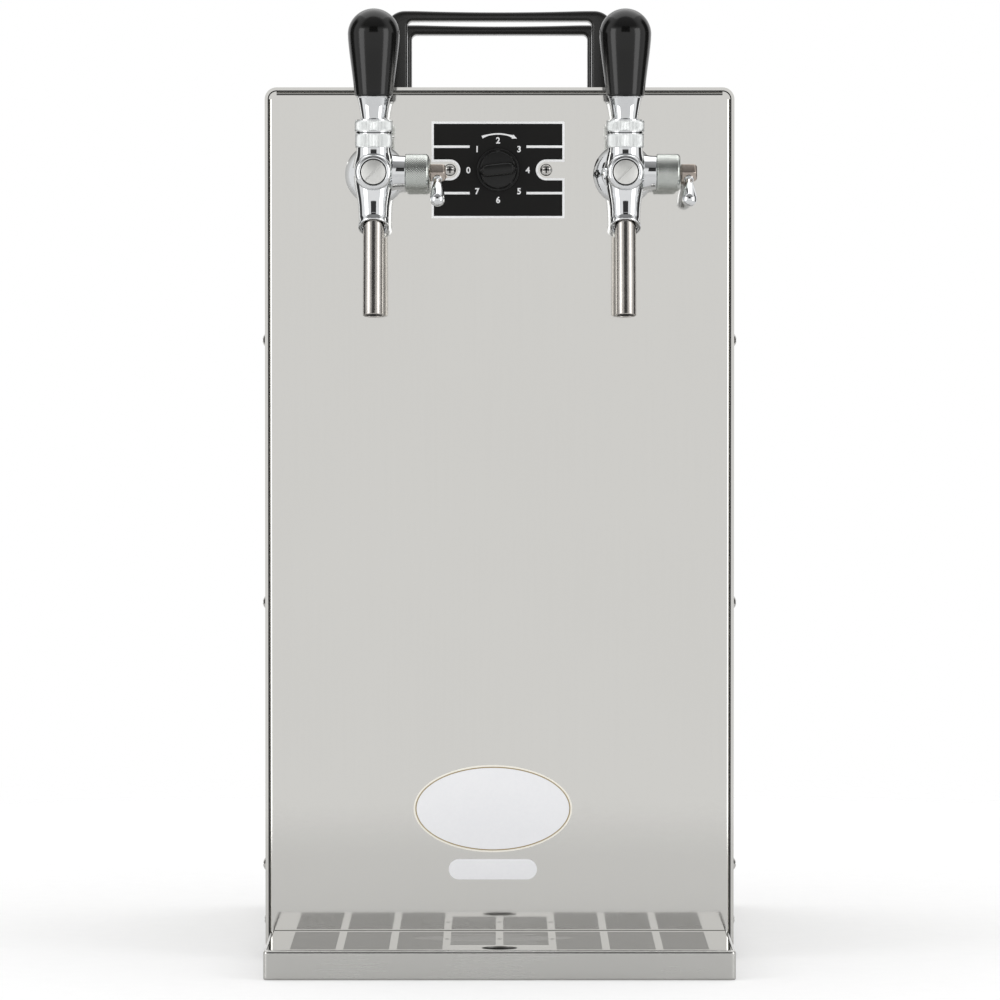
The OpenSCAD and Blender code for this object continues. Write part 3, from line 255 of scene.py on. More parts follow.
class Look(Enum):
    """Finishes of the object."""

    PANEL = Finish("panel_steel", (0.62, 0.612, 0.588), (0.611, 0.603, 0.579), 0.05, 1.0, Grain.BRUSHED, 500,
                   (1, 1, 0.02), 0.0000004, 0.01, 7, 4, 0.00012)
    TRAY = Finish("tray_steel", (0.56, 0.555, 0.535), (0.53, 0.525, 0.505), 0.26, 1.0, Grain.BRUSHED, 700,
                  (0.03, 1, 1), 0.000004, 0.1, 12, 8, 0.00008)
    GRATE = Finish("grate_steel", (0.76, 0.755, 0.735), (0.72, 0.715, 0.695), 0.07, 1.0, Grain.BRUSHED, 800,
                   (0.04, 1, 1), 0.000001, 0.02, 16, 8, 0.00002)
    # Sheared grain of the grate's slot walls, darkened as painted shade.
    SHEARED_SHADE = Finish("sheared_steel_shade", (0.2, 0.198, 0.19), (0.15, 0.148, 0.142), 0.5, 1.0, Grain.BRUSHED, 900,
                     (1, 1, 0.05), 0.000004, 0.1, 60)
    INNER_STEEL = Finish("inner_steel", (0.5, 0.5, 0.49), (0.42, 0.42, 0.41), 0.36, 1.0, Grain.BRUSHED, 600,
                         (0.04, 1, 1), 0.000004, 0.1)
    SCREW = Finish("screw_steel", (0.6, 0.59, 0.57), (0.46, 0.45, 0.43), 0.2, 1.0, Grain.SMOOTH, 1500,
                   rough_spread=0.12, blotch_scale=240)
    CHROME = Finish("tap_chrome", (0.7, 0.71, 0.718), (0.67, 0.68, 0.69), 0.03, 1.0, Grain.SMOOTH, 260,
                    grain_depth=0.000001, rough_spread=0.03, blotch_scale=60)
    SPOUT = Finish("spout_steel", (0.42, 0.4, 0.378), (0.36, 0.342, 0.322), 0.22, 1.0, Grain.BRUSHED, 1300,
                   (1, 1, 0.05), 0.0000015, 0.06, 60)
    SATIN = Finish("satin_chrome", (0.74, 0.74, 0.72), (0.68, 0.68, 0.66), 0.48, 1.0, Grain.BRUSHED, 1600,
                   (1, 1, 0.2), 0.000004, 0.1, 150)
    KNURL = Finish("knurled_chrome", (0.68, 0.695, 0.69), (0.6, 0.615, 0.61), 0.42, 1.0, Grain.SMOOTH, 2200,
                   grain_depth=0.000004, rough_spread=0.1, blotch_scale=120)
    COLLAR = Finish("collar_nickel", (0.52, 0.54, 0.515), (0.44, 0.46, 0.435), 0.22, 1.0, Grain.SMOOTH,
                    2200, grain_depth=0.000006, rough_spread=0.1, blotch_scale=120)
    NICKEL = Finish("warm_nickel", (0.46, 0.41, 0.37), (0.38, 0.33, 0.29), 0.22, 1.0, Grain.SMOOTH, 900,
                    grain_depth=0.000004, rough_spread=0.1, blotch_scale=120)
    GRIP = Finish("grip_plastic", (0.0042, 0.0041, 0.0039), (0.0034, 0.0033, 0.0031), 0.15, 0.0,
                  Grain.MOULDED, 1400, grain_depth=0.000003, rough_spread=0.06, blotch_scale=45,
                  specular=0.34)
    HANDLE = Finish("handle_plastic", (0.013, 0.0126, 0.012), (0.01, 0.0097, 0.0092), 0.22, 0.0,
                    Grain.MOULDED, 1100, grain_depth=0.000008, rough_spread=0.08, blotch_scale=30,
                    specular=0.4)
    KNOB = Finish("knob_plastic", (0.008, 0.008, 0.0077), (0.0065, 0.0065, 0.0062), 0.3, 0.0, Grain.MOULDED,
                  1500, grain_depth=0.00001, rough_spread=0.1, blotch_scale=90, specular=0.3)
    DIAL = Finish("dial_black", (0.0062, 0.0059, 0.0054), (0.0052, 0.005, 0.0046), 0.42, 0.0, Grain.MOULDED,
                  1800, grain_depth=0.000004, rough_spread=0.08, blotch_scale=40, specular=0.2)
    PRINT = Finish("dial_print", (0.95, 0.955, 0.96), (0.9, 0.905, 0.91), 0.45, 0.0, Grain.MOULDED, 2400,
                   grain_depth=0.000003, rough_spread=0.1, blotch_scale=300)
    CREAM = Finish("badge_cream", (0.9, 0.87, 0.78), (0.87, 0.84, 0.75), 0.25, 0.0, Grain.SMOOTH, 400,
                   grain_depth=0.000003, rough_spread=0.06, blotch_scale=30)
    BADGE = Finish("badge_enamel", (0.865, 0.868, 0.885), (0.84, 0.843, 0.865), 0.2, 0.0, Grain.SMOOTH, 400,
                   grain_depth=0.000003, rough_spread=0.06, blotch_scale=30, coat=0.4)
    GOLD = Finish("badge_gold", (0.4, 0.31, 0.17), (0.35, 0.27, 0.145), 0.35, 0.6, Grain.SMOOTH, 900,
                  grain_depth=0.000003, rough_spread=0.1, blotch_scale=200)
    # This finish is the rubber of the feet and grommets, and also serves as painted shade in the dial screws'
    # recesses and in the groove round each tap disc.
    RUBBER_AND_SHADE = Finish("black_rubber", (0.02, 0.02, 0.02), (0.014, 0.014, 0.014), 0.62, 0.0, Grain.MOULDED, 900,
                    grain_depth=0.00004, rough_spread=0.14, blotch_scale=60, specular=0.35)
    GASKET = Finish("grey_gasket", (0.17, 0.17, 0.165), (0.13, 0.13, 0.126), 0.6, 0.0, Grain.MOULDED, 900,
                    grain_depth=0.00002, rough_spread=0.1, blotch_scale=60, specular=0.4)
    SHELL = Finish("compressor_paint", (0.013, 0.013, 0.014), (0.01, 0.01, 0.011), 0.3, 0.0, Grain.MOULDED,
                   420, grain_depth=0.00005, rough_spread=0.1, blotch_scale=25, coat=0.3)
    COPPER = Finish("copper_tube", (0.68, 0.33, 0.19), (0.5, 0.22, 0.12), 0.24, 1.0, Grain.SMOOTH, 700,
                    grain_depth=0.000006, rough_spread=0.16, blotch_scale=40)
    LINE = Finish("line_steel", (0.58, 0.575, 0.56), (0.5, 0.495, 0.48), 0.2, 1.0, Grain.BRUSHED, 900,
                  (1, 1, 0.1), 0.000004, 0.1, 60)
    ALUMINIUM = Finish("aluminium", (0.62, 0.63, 0.64), (0.54, 0.55, 0.56), 0.38, 1.0, Grain.MOULDED, 500,
                       grain_depth=0.00003, rough_spread=0.14, blotch_scale=35)
    FOAM = Finish("foam_block", (0.74, 0.73, 0.69), (0.62, 0.61, 0.56), 0.85, 0.0, Grain.CELLS, 260,
                  grain_depth=0.0006, rough_spread=0.08, blotch_scale=22, specular=0.2)
    # This finish is the black plastic of the inner parts, and also serves as painted shade lining the inside
    # of each spout.
    INNER_BLACK = Finish("inner_plastic_and_shade", (0.022, 0.022, 0.023), (0.016, 0.016, 0.017), 0.5, 0.0,
                         Grain.MOULDED, 800, grain_depth=0.00003, rough_spread=0.12, blotch_scale=40)


def arc(middle: Point, radius: float, start: float, end: float, steps: int) -> list[Point]:
    """Points on an arc of a profile.

    Args:
        middle: Middle of the arc.
        radius: Radius of the arc.
        start: First angle in degrees.
        end: Last angle in degrees.
        steps: Number of steps between them.

    Returns:
        The points from the first angle to the last.
    """
    angles = [math.radians(start + (end - start) * i / steps) for i in range(steps + 1)]
    return [(middle[0] + radius * math.cos(a), middle[1] + radius * math.sin(a)) for a in angles]


def curve(points: Sequence[Point], steps: int) -> list[Point]:
    """Smooth curve through points.

    Args:
        points: Points that the curve passes through.
        steps: Steps between two points.

    Returns:
        Points on the curve, with the given ones among them.
    """
    ends = [points[0], *points, points[-1]]
    made = []
    for p0, p1, p2, p3 in zip(ends, ends[1:], ends[2:], ends[3:]):
        for i in range(steps):
            t = i / steps
            weights = (-t + 2 * t**2 - t**3, 2 - 5 * t**2 + 3 * t**3, t + 4 * t**2 - 3 * t**3, t**3 - t**2)
            made.append(tuple(sum(w * p[k] for w, p in zip(weights, (p0, p1, p2, p3))) / 2 for k in (0, 1)))
    return [*made, points[-1]]


def frame_at(origin: Sequence[float], axis: Sequence[float]) -> Matrix:
    """Local frame whose Z axis is the given one and whose X axis stays level.

    Args:
        origin: Origin of the frame in millimetres.
        axis: Direction of its Z axis.

    Returns:
        The matrix from the local frame to the object's frame.
    """
    z = Vector(axis).normalized()
    x = Vector((1, 0, 0)) if abs(z.x) < 0.9 else Vector((0, -1, 0))
    y = z.cross(x).normalized()
    turned = Matrix((y.cross(z), y, z)).transposed().to_4x4()
    return Matrix.Translation(origin) @ turned


class Shape:
    """Vertices and faces of one piece, in millimetres."""

    def __init__(self) -> None:
        """Starts an empty shape."""
        self.verts: list[Vector] = []
        self.faces: list[tuple[int, ...]] = []

    def add(self, verts: Iterable[Vector], faces: Iterable[tuple[int, ...]],
            keep: Test | None = None) -> "Shape":
        """Adds vertices and the faces between them.

        Args:
            verts: New vertices.
            faces: Faces that count from the first new vertex.
            keep: Test of a face's middle; faces that fail it are left out.

        Returns:
            The shape itself.
        """
        first = len(self.verts)
        self.verts.extend(verts)
        for face in faces:
            corners = tuple(first + i for i in face)
            middle = sum((self.verts[i] for i in corners), Vector()) / len(corners)
            if keep is None or keep(middle):
                self.faces.append(corners)
        return self

    def lathe(self, at: Matrix, profile: Sequence[Point], steps: int = 96, closed: bool = False,
              ripple: Ripple | None = None, keep: Test | None = None) -> "Shape":
        """Turns a profile about the frame's Z axis.

        Args:
            at: Frame of the axis.
            profile: Radius and height of each point, with the outside on the right hand of its run.
            steps: Steps round the axis.
            closed: Joins the last point to the first.
            ripple: Change of radius and height at an angle and a height.
            keep: Test of a face's middle.

        Returns:
            The shape itself.
        """
        verts = []
        for r, h in profile:
            for i in range(steps):
                a = TAU * i / steps
                dr, dh = ripple(a, h) if ripple else (0.0, 0.0)
                verts.append(at @ Vector(((r + dr) * math.cos(a), (r + dr) * math.sin(a), h + dh)))
        rows = len(profile)
        faces = []
        for j in range(rows if closed else rows - 1):
            k = (j + 1) % rows
            for i in range(steps):
                n = (i + 1) % steps
                faces.append((j * steps + i, j * steps + n, k * steps + n, k * steps + i))
        return self.add(verts, faces, keep)

    def loft(self, rings: Sequence[Sequence[Vector]], caps: bool = True) -> "Shape":
        """Joins closed rings of the same number of points.

        Args:
            rings: The rings in order.
            caps: Closes the first and the last ring.

        Returns:
            The shape itself.
        """
        n = len(rings[0])
        faces: list[tuple[int, ...]] = []
        for j in range(len(rings) - 1):
            for i in range(n):
                k = (i + 1) % n
                faces.append((j * n + i, j * n + k, (j + 1) * n + k, (j + 1) * n + i))
        if caps:
            last = (len(rings) - 1) * n
            faces.append(tuple(reversed(range(n))))
            faces.append(tuple(last + i for i in range(n)))
        return self.add([p for ring in rings for p in ring], faces)

    def piece(self, name: str, look: Look, body: str, slot: str, nodes: Sequence[str] = (),
              sharp: float = 38.0) -> bpy.types.Object:
        """Makes the Blender object.

        Args:
            name: Name of the piece.
            look: Its finish.
            body: CAD body that it rides on.
            slot: Material slot of the record; not used.
            nodes: CAD nodes that it stands for.
            sharp: Angle in degrees over which an edge stays sharp.

        Returns:
            The object in the scene.
        """
        mesh = bpy.data.meshes.new(name)
        mesh.from_pydata([v * MM for v in self.verts], [], self.faces)
        mesh.validate()
        mesh.materials.append(look.value.material())
        mesh.shade_smooth()
        mesh.set_sharp_from_angle(angle=math.radians(sharp))
        made = bpy.data.objects.new(name, mesh)
        bpy.context.scene.collection.objects.link(made)
        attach(made, body)
        if nodes:
            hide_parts(*nodes)
        LOG.info("%s: %d faces on %s", name, len(mesh.polygons), body)
        return made


def dress(look: Look, *names: str) -> None:
    """Gives CAD nodes their finish.

    Args:
        look: The finish.
        names: Names of the nodes.
    """
    for name in names:
        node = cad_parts[name]
        node.data.materials.clear()
        node.data.materials.append(look.value.material())
        LOG.info("%s: %s", name, look.value.name)


@dataclass
class Case:
    """Sheets, screws and feet of the case, with what shows at the rear."""

    half: float = 158.0
    foot: float = 12.0
    top: float = 588.0
    corner: float = 8.0
    depth: float = 400.0
    gasket_in: float = 2.6
    gasket_d: float = 2.2
    gasket_outer: float = 2.05
    gasket_inner: float = 2.75

    def edge(self, inset: float) -> list[Point]:
        """Open outline of the case from the right foot over the top to the left foot.

        Args:
            inset: Distance by which the outline is drawn in.

        Returns:
            Its points in X and Z.
        """
        x, z = self.half - self.corner, self.top - self.corner
        r = self.corner - inset
        bends = [*arc((x, z), r, 0, 90, 8), *arc((-x, z), r, 90, 180, 8)]
        return [(self.half - inset, self.foot), *bends, (inset - self.half, self.foot)]

    def gasket(self, y: float) -> Shape:
        """Strip in the seam between the cover and a panel.

        Args:
            y: Depth of the strip's front face.

        Returns:
            The strip as one shape.
        """
        sides = zip(self.edge(self.gasket_outer), self.edge(self.gasket_inner))
        back = y + self.gasket_d
        rings = []
        for (x0, z0), (x1, z1) in sides:
            rings.append([Vector(p) for p in ((x0, y, z0), (x0, back, z0), (x1, back, z1), (x1, y, z1))])
        return Shape().loft(rings)

    def build(self) -> None:
        """Dresses the nodes of the case and closes its seams."""
        rear_in = self.depth - self.gasket_in - self.gasket_d
        for name, run in (("front", self.gasket_in), ("rear", rear_in)):
            self.gasket(FRONT_Y + run).piece(f"{name}_seam_gasket", Look.GASKET, "case", "black_rubber")
        dress(Look.PANEL, "front_panel", "cover", "rear_panel")
        dress(Look.INNER_STEEL, "base_plate", "handle_bolts", "shank_nuts")
        dress(Look.SCREW, "case_screws", "dial_screws")
        dress(Look.RUBBER_AND_SHADE, "feet")
        dress(Look.INNER_BLACK, "inlet_fittings", "cord_gland")


@dataclass
class CarryHandle:
    """A carry handle: an arch with rounded edges whose bar dips a little."""

    name: str
    y: float
    width: float = 156.0
    depth: float = 26.0
    foot: float = 588.0
    rise: float = 55.0
    leg: float = 14.8
    bar: float = 6.8
    corner: float = 13.0
    inner_corner: float = 3.5
    dip: float = 0.9
    dip_radius: float = 1800.0
    dip_zone: float = 0.5
    rounding: float = 2.4
    edge_steps: int = 6
    bend_steps: int = 12
    bar_steps: int = 24

    def outline(self, inset: float) -> list[Point]:
        """Outline of the handle in X and Z.

        Args:
            inset: Distance by which the outline is drawn in.

        Returns:
            The points of the closed outline.
        """
        half = self.width / 2 - inset
        inner = self.width / 2 - self.leg + inset
        top = self.foot + self.rise - inset
        under = self.foot + self.rise - self.bar + inset
        r = self.corner - inset
        q = self.inner_corner + inset
        bar = [half - r - 2 * (half - r) * i / self.bar_steps for i in range(1, self.bar_steps)]
        outer = [
            (half, self.foot),
            *arc((half - r, top - r), r, 0, 90, self.bend_steps),
            *[(x, top) for x in bar],
            *arc((r - half, top - r), r, 90, 180, self.bend_steps),
            (-half, self.foot),
        ]
        sag = [max(0.0, self.dip - x * x / (2 * self.dip_radius)) for x, _ in outer]
        outer = [(x, z - s * (z > top - self.dip_zone)) for (x, z), s in zip(outer, sag)]
        inside = [
            (-inner, self.foot),
            *arc((q - inner, under - q), q, 180, 90, self.edge_steps),
            *arc((inner - q, under - q), q, 90, 0, self.edge_steps),
            (inner, self.foot),
        ]
        return outer + inside

    def build(self) -> None:
        """Lofts the outline from the front face to the rear face, with round edges."""
        rings = []
        for side in (-1, 1):
            turns = range(self.edge_steps + 1)
            for i in turns if side < 0 else reversed(turns):
                a = math.pi / 2 * i / self.edge_steps
                inset = self.rounding * (1 - math.sin(a))
                y = self.y + side * (self.depth / 2 - self.rounding * (1 - math.cos(a)))
                rings.append([Vector((x, y, z)) for x, z in self.outline(inset)])
        Shape().loft(rings).piece(f"{self.name}_moulding", Look.HANDLE, "case", "black_plastic", [self.name])


@dataclass
class Thermostat:
    """Dial plate with its print, the knob and what is behind them."""

    x: float = -1.0
    z: float = 532.5
    plate_w: float = 89.5
    plate_h: float = 65.0
    plate_t: float = 0.6
    print_t: float = 0.06
    border: float = 1.5
    line_w: float = 1.65
    line_z: float = 15.6
    line_in: float = 19.1
    tab_r: float = 5.5
    tab_x: float = 32.4
    digit_r: float = 20.0
    digit_h: float = 5.7
    digit_drop: float = 0.4
    digit_bold: float = 0.16
    digits_n: int = 8
    arrow_z: float = -3.4
    arrow_r: float = 27.6
    arrow_spread: float = 23.0
    arrow_neck: float = 20.5
    arrow_point: float = 27.5
    arrow_barb: float = 1.5
    arrow_half: float = 0.5
    arrow_flare: float = 0.55
    arrow_steps: int = 28
    flare_run: float = 9.0
    flare_left: float = 0.8
    knob_angle: float = 6.0
    knob_r: float = 14.25
    knob_gap: float = 0.5
    knob_bore: float = 5.7
    knob_edge: float = 0.5
    knob_rim: float = 0.9
    knob_face: float = 8.1
    grip_half: float = 4.4
    grip_in: float = 1.0
    grip_lean: float = 0.16
    grip_end: float = 0.8
    grip_fan: float = 8.5
    grip_bulge: float = 0.035
    grip_steps: int = 6
    grip_rings: tuple[Point, ...] = (
        (3.0, 0.0), (9.0, 0.15), (12.6, 0.35), (14.2, 0.7), (14.8, 1.3), (15.0, 2.1),
    )
    pointer_rings: tuple[Point, ...] = ((2.0, 0.45), (12.5, 2.05), (13.2, 2.85))
    pointer_end: tuple[Point, ...] = ((-5.0, -1.5), (-1.2, -1.1), (0.0, 0.0), (-1.2, 1.1), (-5.0, 1.5))
    cross_l: float = 2.2
    cross_w: float = 0.46
    cross_low: float = 0.78
    cross_high: float = 1.5

    def slab(self, shape: Shape, outline: Sequence[Point], layer: Point | None = None) -> None:
        """Adds one thin flat area to a shape.

        Args:
            shape: Shape that takes the area.
            outline: Closed outline about the dial's middle, in X and Z.
            layer: Distances of its rear and front face from the panel, or None for print on the plate.
        """
        places = [(self.x + x, self.z + z) for x, z in outline]
        layer = layer or (self.plate_t, self.plate_t + self.print_t)
        shape.loft([[Vector((x, FRONT_Y - u, z)) for x, z in places] for u in layer])

    def box(self, shape: Shape, x0: float, x1: float, z0: float, z1: float) -> None:
        """Adds one printed bar between two corners."""
        self.slab(shape, [(x0, z0), (x1, z0), (x1, z1), (x0, z1)])

    def build(self) -> None:
        """Dresses the nodes and adds the print and the knob."""
        dress(Look.DIAL, "dial_plate")
        dress(Look.INNER_BLACK, "thermostat")
        dress(Look.INNER_STEEL, "thermostat_shaft")
        self.lines().piece("dial_lines", Look.PRINT, "case", "badge_white")
        self.arrow().piece("dial_arrow", Look.PRINT, "case", "badge_white")
        self.digits()
        # Painted shade: dark bars stand in for the shade in the cross recesses of the two dial screws.
        self.recess_shade().piece("dial_screw_recesses", Look.RUBBER_AND_SHADE, "case", "screw_steel")
        self.knob().piece("thermostat_knob_moulding", Look.KNOB, "knob", "black_plastic", ["thermostat_knob"])

    def lines(self) -> Shape:
        """Border of the plate, the four bars and the rims of the two tabs.

        Returns:
            The printed lines as one shape.
        """
        made = Shape()
        w, h, b = self.plate_w / 2, self.plate_h / 2, self.border
        gap = self.tab_r + b
        self.box(made, -w, w, h - b, h)
        self.box(made, -w, w, -h, b - h)
        for s in (-1, 1):
            for z0, z1 in ((gap, h - b), (b - h, -gap)):
                self.box(made, *sorted((s * w, s * (w - b))), z0, z1)
            for z in (-self.line_z, self.line_z):
                ends = sorted((s * (w - b), s * self.line_in))
                self.box(made, *ends, z - self.line_w / 2, z + self.line_w / 2)
            turns = [
                [(s * (self.tab_x - x), z) for x, z in arc((0, 0), r, a, -a, 24)]
                for r, a in ((gap, 90), (self.tab_r, -90))
            ]
            rim = [(s * w, gap), *turns[0], (s * w, -gap)]
            edge = [(s * w, -self.tab_r), *turns[1], (s * w, self.tab_r)]
            for i in range(len(rim) - 1):
                self.slab(made, [rim[i], rim[i + 1], edge[-2 - i], edge[-1 - i]])
        return made

    def on_arrow(self, angle: float, offset: float) -> Point:
        """Point at an angle to the left of the top and a distance from the arrow's line."""
        a, r = math.radians(90 + angle), self.arrow_r + offset
        return r * math.cos(a), self.arrow_z + r * math.sin(a)

    def arrow(self) -> Shape:
        """Curved arrow over the scale.

        Returns:
            The arrow as one shape.
        """
        made = Shape()
        spread, neck = self.arrow_spread, self.arrow_neck
        for i in range(self.arrow_steps):
            outline = []
            for k, order in ((0, (1, -1)), (1, (-1, 1))):
                angle = spread - (spread + neck) * (i + k) / self.arrow_steps
                near = max(0.0, 1 - (spread - abs(angle)) / self.flare_run)
                half = self.arrow_half + self.arrow_flare * near * (1 if angle < 0 else self.flare_left)
                outline += [self.on_arrow(angle, side * half) for side in order]
            self.slab(made, outline)
        tip = ((-neck, -self.arrow_barb), (-self.arrow_point, 0.0), (-neck, self.arrow_barb))
        self.slab(made, [self.on_arrow(angle, offset) for angle, offset in tip])
        return made

    def recess_shade(self) -> Shape:
        """Dark bars of painted shade in the crosses of the two screws.

        Returns:
            The four bars as one shape.
        """
        made = Shape()
        for s in (-1, 1):
            for w, h in ((self.cross_l, self.cross_w), (self.cross_w, self.cross_l)):
                outline = [(s * self.tab_x + x * w, z * h) for x, z in ((-1, -1), (1, -1), (1, 1), (-1, 1))]
                self.slab(made, outline, (self.cross_low, self.cross_high))
        return made

    def digits(self) -> None:
        """Numbers of the scale, clockwise from the left."""
        for i in range(self.digits_n):
            text = bpy.data.curves.new(f"dial_digit_{i}", "FONT")
            text.body = str(i)
            text.size = self.digit_h * MM
            text.align_x = "CENTER"
            text.align_y = "CENTER"
            text.extrude = self.print_t * MM / 2
            text.offset = self.digit_bold * MM
            text.resolution_u = 8
            draft = bpy.data.objects.new(f"draft_{i}", text)
            mesh = bpy.data.meshes.new_from_object(draft)
            bpy.data.objects.remove(draft)
            a = math.pi - TAU * i / self.digits_n
            x = self.x + self.digit_r * math.cos(a)
            z = self.z + self.digit_r * math.sin(a) - self.digit_drop
            y = FRONT_Y - self.plate_t - self.print_t / 2
            turn = Matrix.Rotation(math.pi / 2, 4, "X")
            mesh.transform(Matrix.Translation(Vector((x, y, z)) * MM) @ turn)
            mesh.materials.clear()
            mesh.materials.append(Look.PRINT.value.material())
            made = bpy.data.objects.new(f"dial_digit_{i}", mesh)
            bpy.context.scene.collection.objects.link(made)
            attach(made, "case")
        LOG.info("dial digits: %d pieces on case", self.digits_n)

    def knob(self) -> Shape:
        """Round knob with a raised grip across it.

        Returns:
            The knob as one shape.
        """
        made = Shape()
        back = FRONT_Y - self.plate_t - self.knob_gap
        at = frame_at((self.x, back, self.z), (0, -1, 0))
        r, edge, rim, face = self.knob_r, self.knob_edge, self.knob_rim, self.knob_face
        skirt = [
            (self.knob_bore, 0), (r - edge, 0), *arc((r - edge, edge), edge, -90, 0, 4),
            *arc((r - rim, 3 * rim), rim, 0, 70, 5),
            *curve([(r - 1.0, 3.6), (r - 1.35, 5.2), (r - 2.0, face - rim)], 4),
            *arc((r - 3.0, face - rim), rim, 0, 90, 5), (TIP, face),
        ]
        made.lathe(at, skirt, 128)
        turn = Matrix.Rotation(math.radians(self.knob_angle), 4, Vector((0, -1, 0)))
        place = Matrix.Translation((self.x, back, self.z)) @ turn
        rings = []
        for h, inset in self.grip_rings:
            half_l = r - self.grip_in - self.grip_lean * h - inset * self.grip_end
            half_w = self.grip_half - inset
            ring = []
            for s in (1, -1):
                for k in range(-self.grip_steps, self.grip_steps + 1):
                    a, b = math.radians(self.grip_fan * k), math.pi / 2 * k / self.grip_steps
                    length = half_l * (1 + self.grip_bulge * math.cos(b))
                    ring.append(place @ Vector((s * length * math.cos(a), -h, s * half_w * math.sin(b))))
            rings.append(ring)
        made.loft(rings)
        pointer = []
        for h, inset in self.pointer_rings:
            pointer.append([place @ Vector((r - inset + x, -h, z)) for x, z in self.pointer_end])
        return made.loft(pointer)


@dataclass
class Badges:
    """Oval badge with its gold line, and the strip under it, both bare."""

    x: float = -4.5
    z: float = 102.0
    width: float = 107.0
    height: float = 59.0
    thick: float = 0.8
    border_in: float = 0.02
    border_rise: float = 0.05
    line_in: float = 1.2
    line_w: float = 0.75
    line_rise: float = 0.06
    sink: float = 0.05
    steps: int = 160

    def oval(self, inset: float, y: float) -> list[Vector]:
        """Points of an oval drawn in by a distance.

        Args:
            inset: Distance from the badge's edge.
            y: Depth of the oval.

        Returns:
            The points of the oval.
        """
        a, b = self.width / 2 - inset, self.height / 2 - inset
        angles = [TAU * i / self.steps for i in range(self.steps)]
        return [Vector((self.x + a * math.cos(t), y, self.z + b * math.sin(t))) for t in angles]

    def ring(self, outer: float, inner: float, rise: float) -> Shape:
        """Thin oval ring on the badge.

        Args:
            outer: Inset of its outer edge.
            inner: Inset of its inner edge.
            rise: Height over the badge.

        Returns:
            The ring as one shape.
        """
        face = FRONT_Y - self.thick
        low, high = face + self.sink, face - rise
        edges = ((outer, low), (outer, high), (inner, high), (inner, low))
        return Shape().loft([self.oval(inset, y) for inset, y in edges], caps=False)

    def build(self) -> None:
        """Dresses the badges and adds the border with its gold line."""
        dress(Look.BADGE, "front_badges")
        border = self.ring(self.border_in, self.line_in, self.border_rise)
        border.piece("badge_border", Look.CREAM, "case", "badge_white")
        line = self.ring(self.line_in, self.line_in + self.line_w, self.line_rise)
        line.piece("badge_gold_line", Look.GOLD, "case", "badge_white")


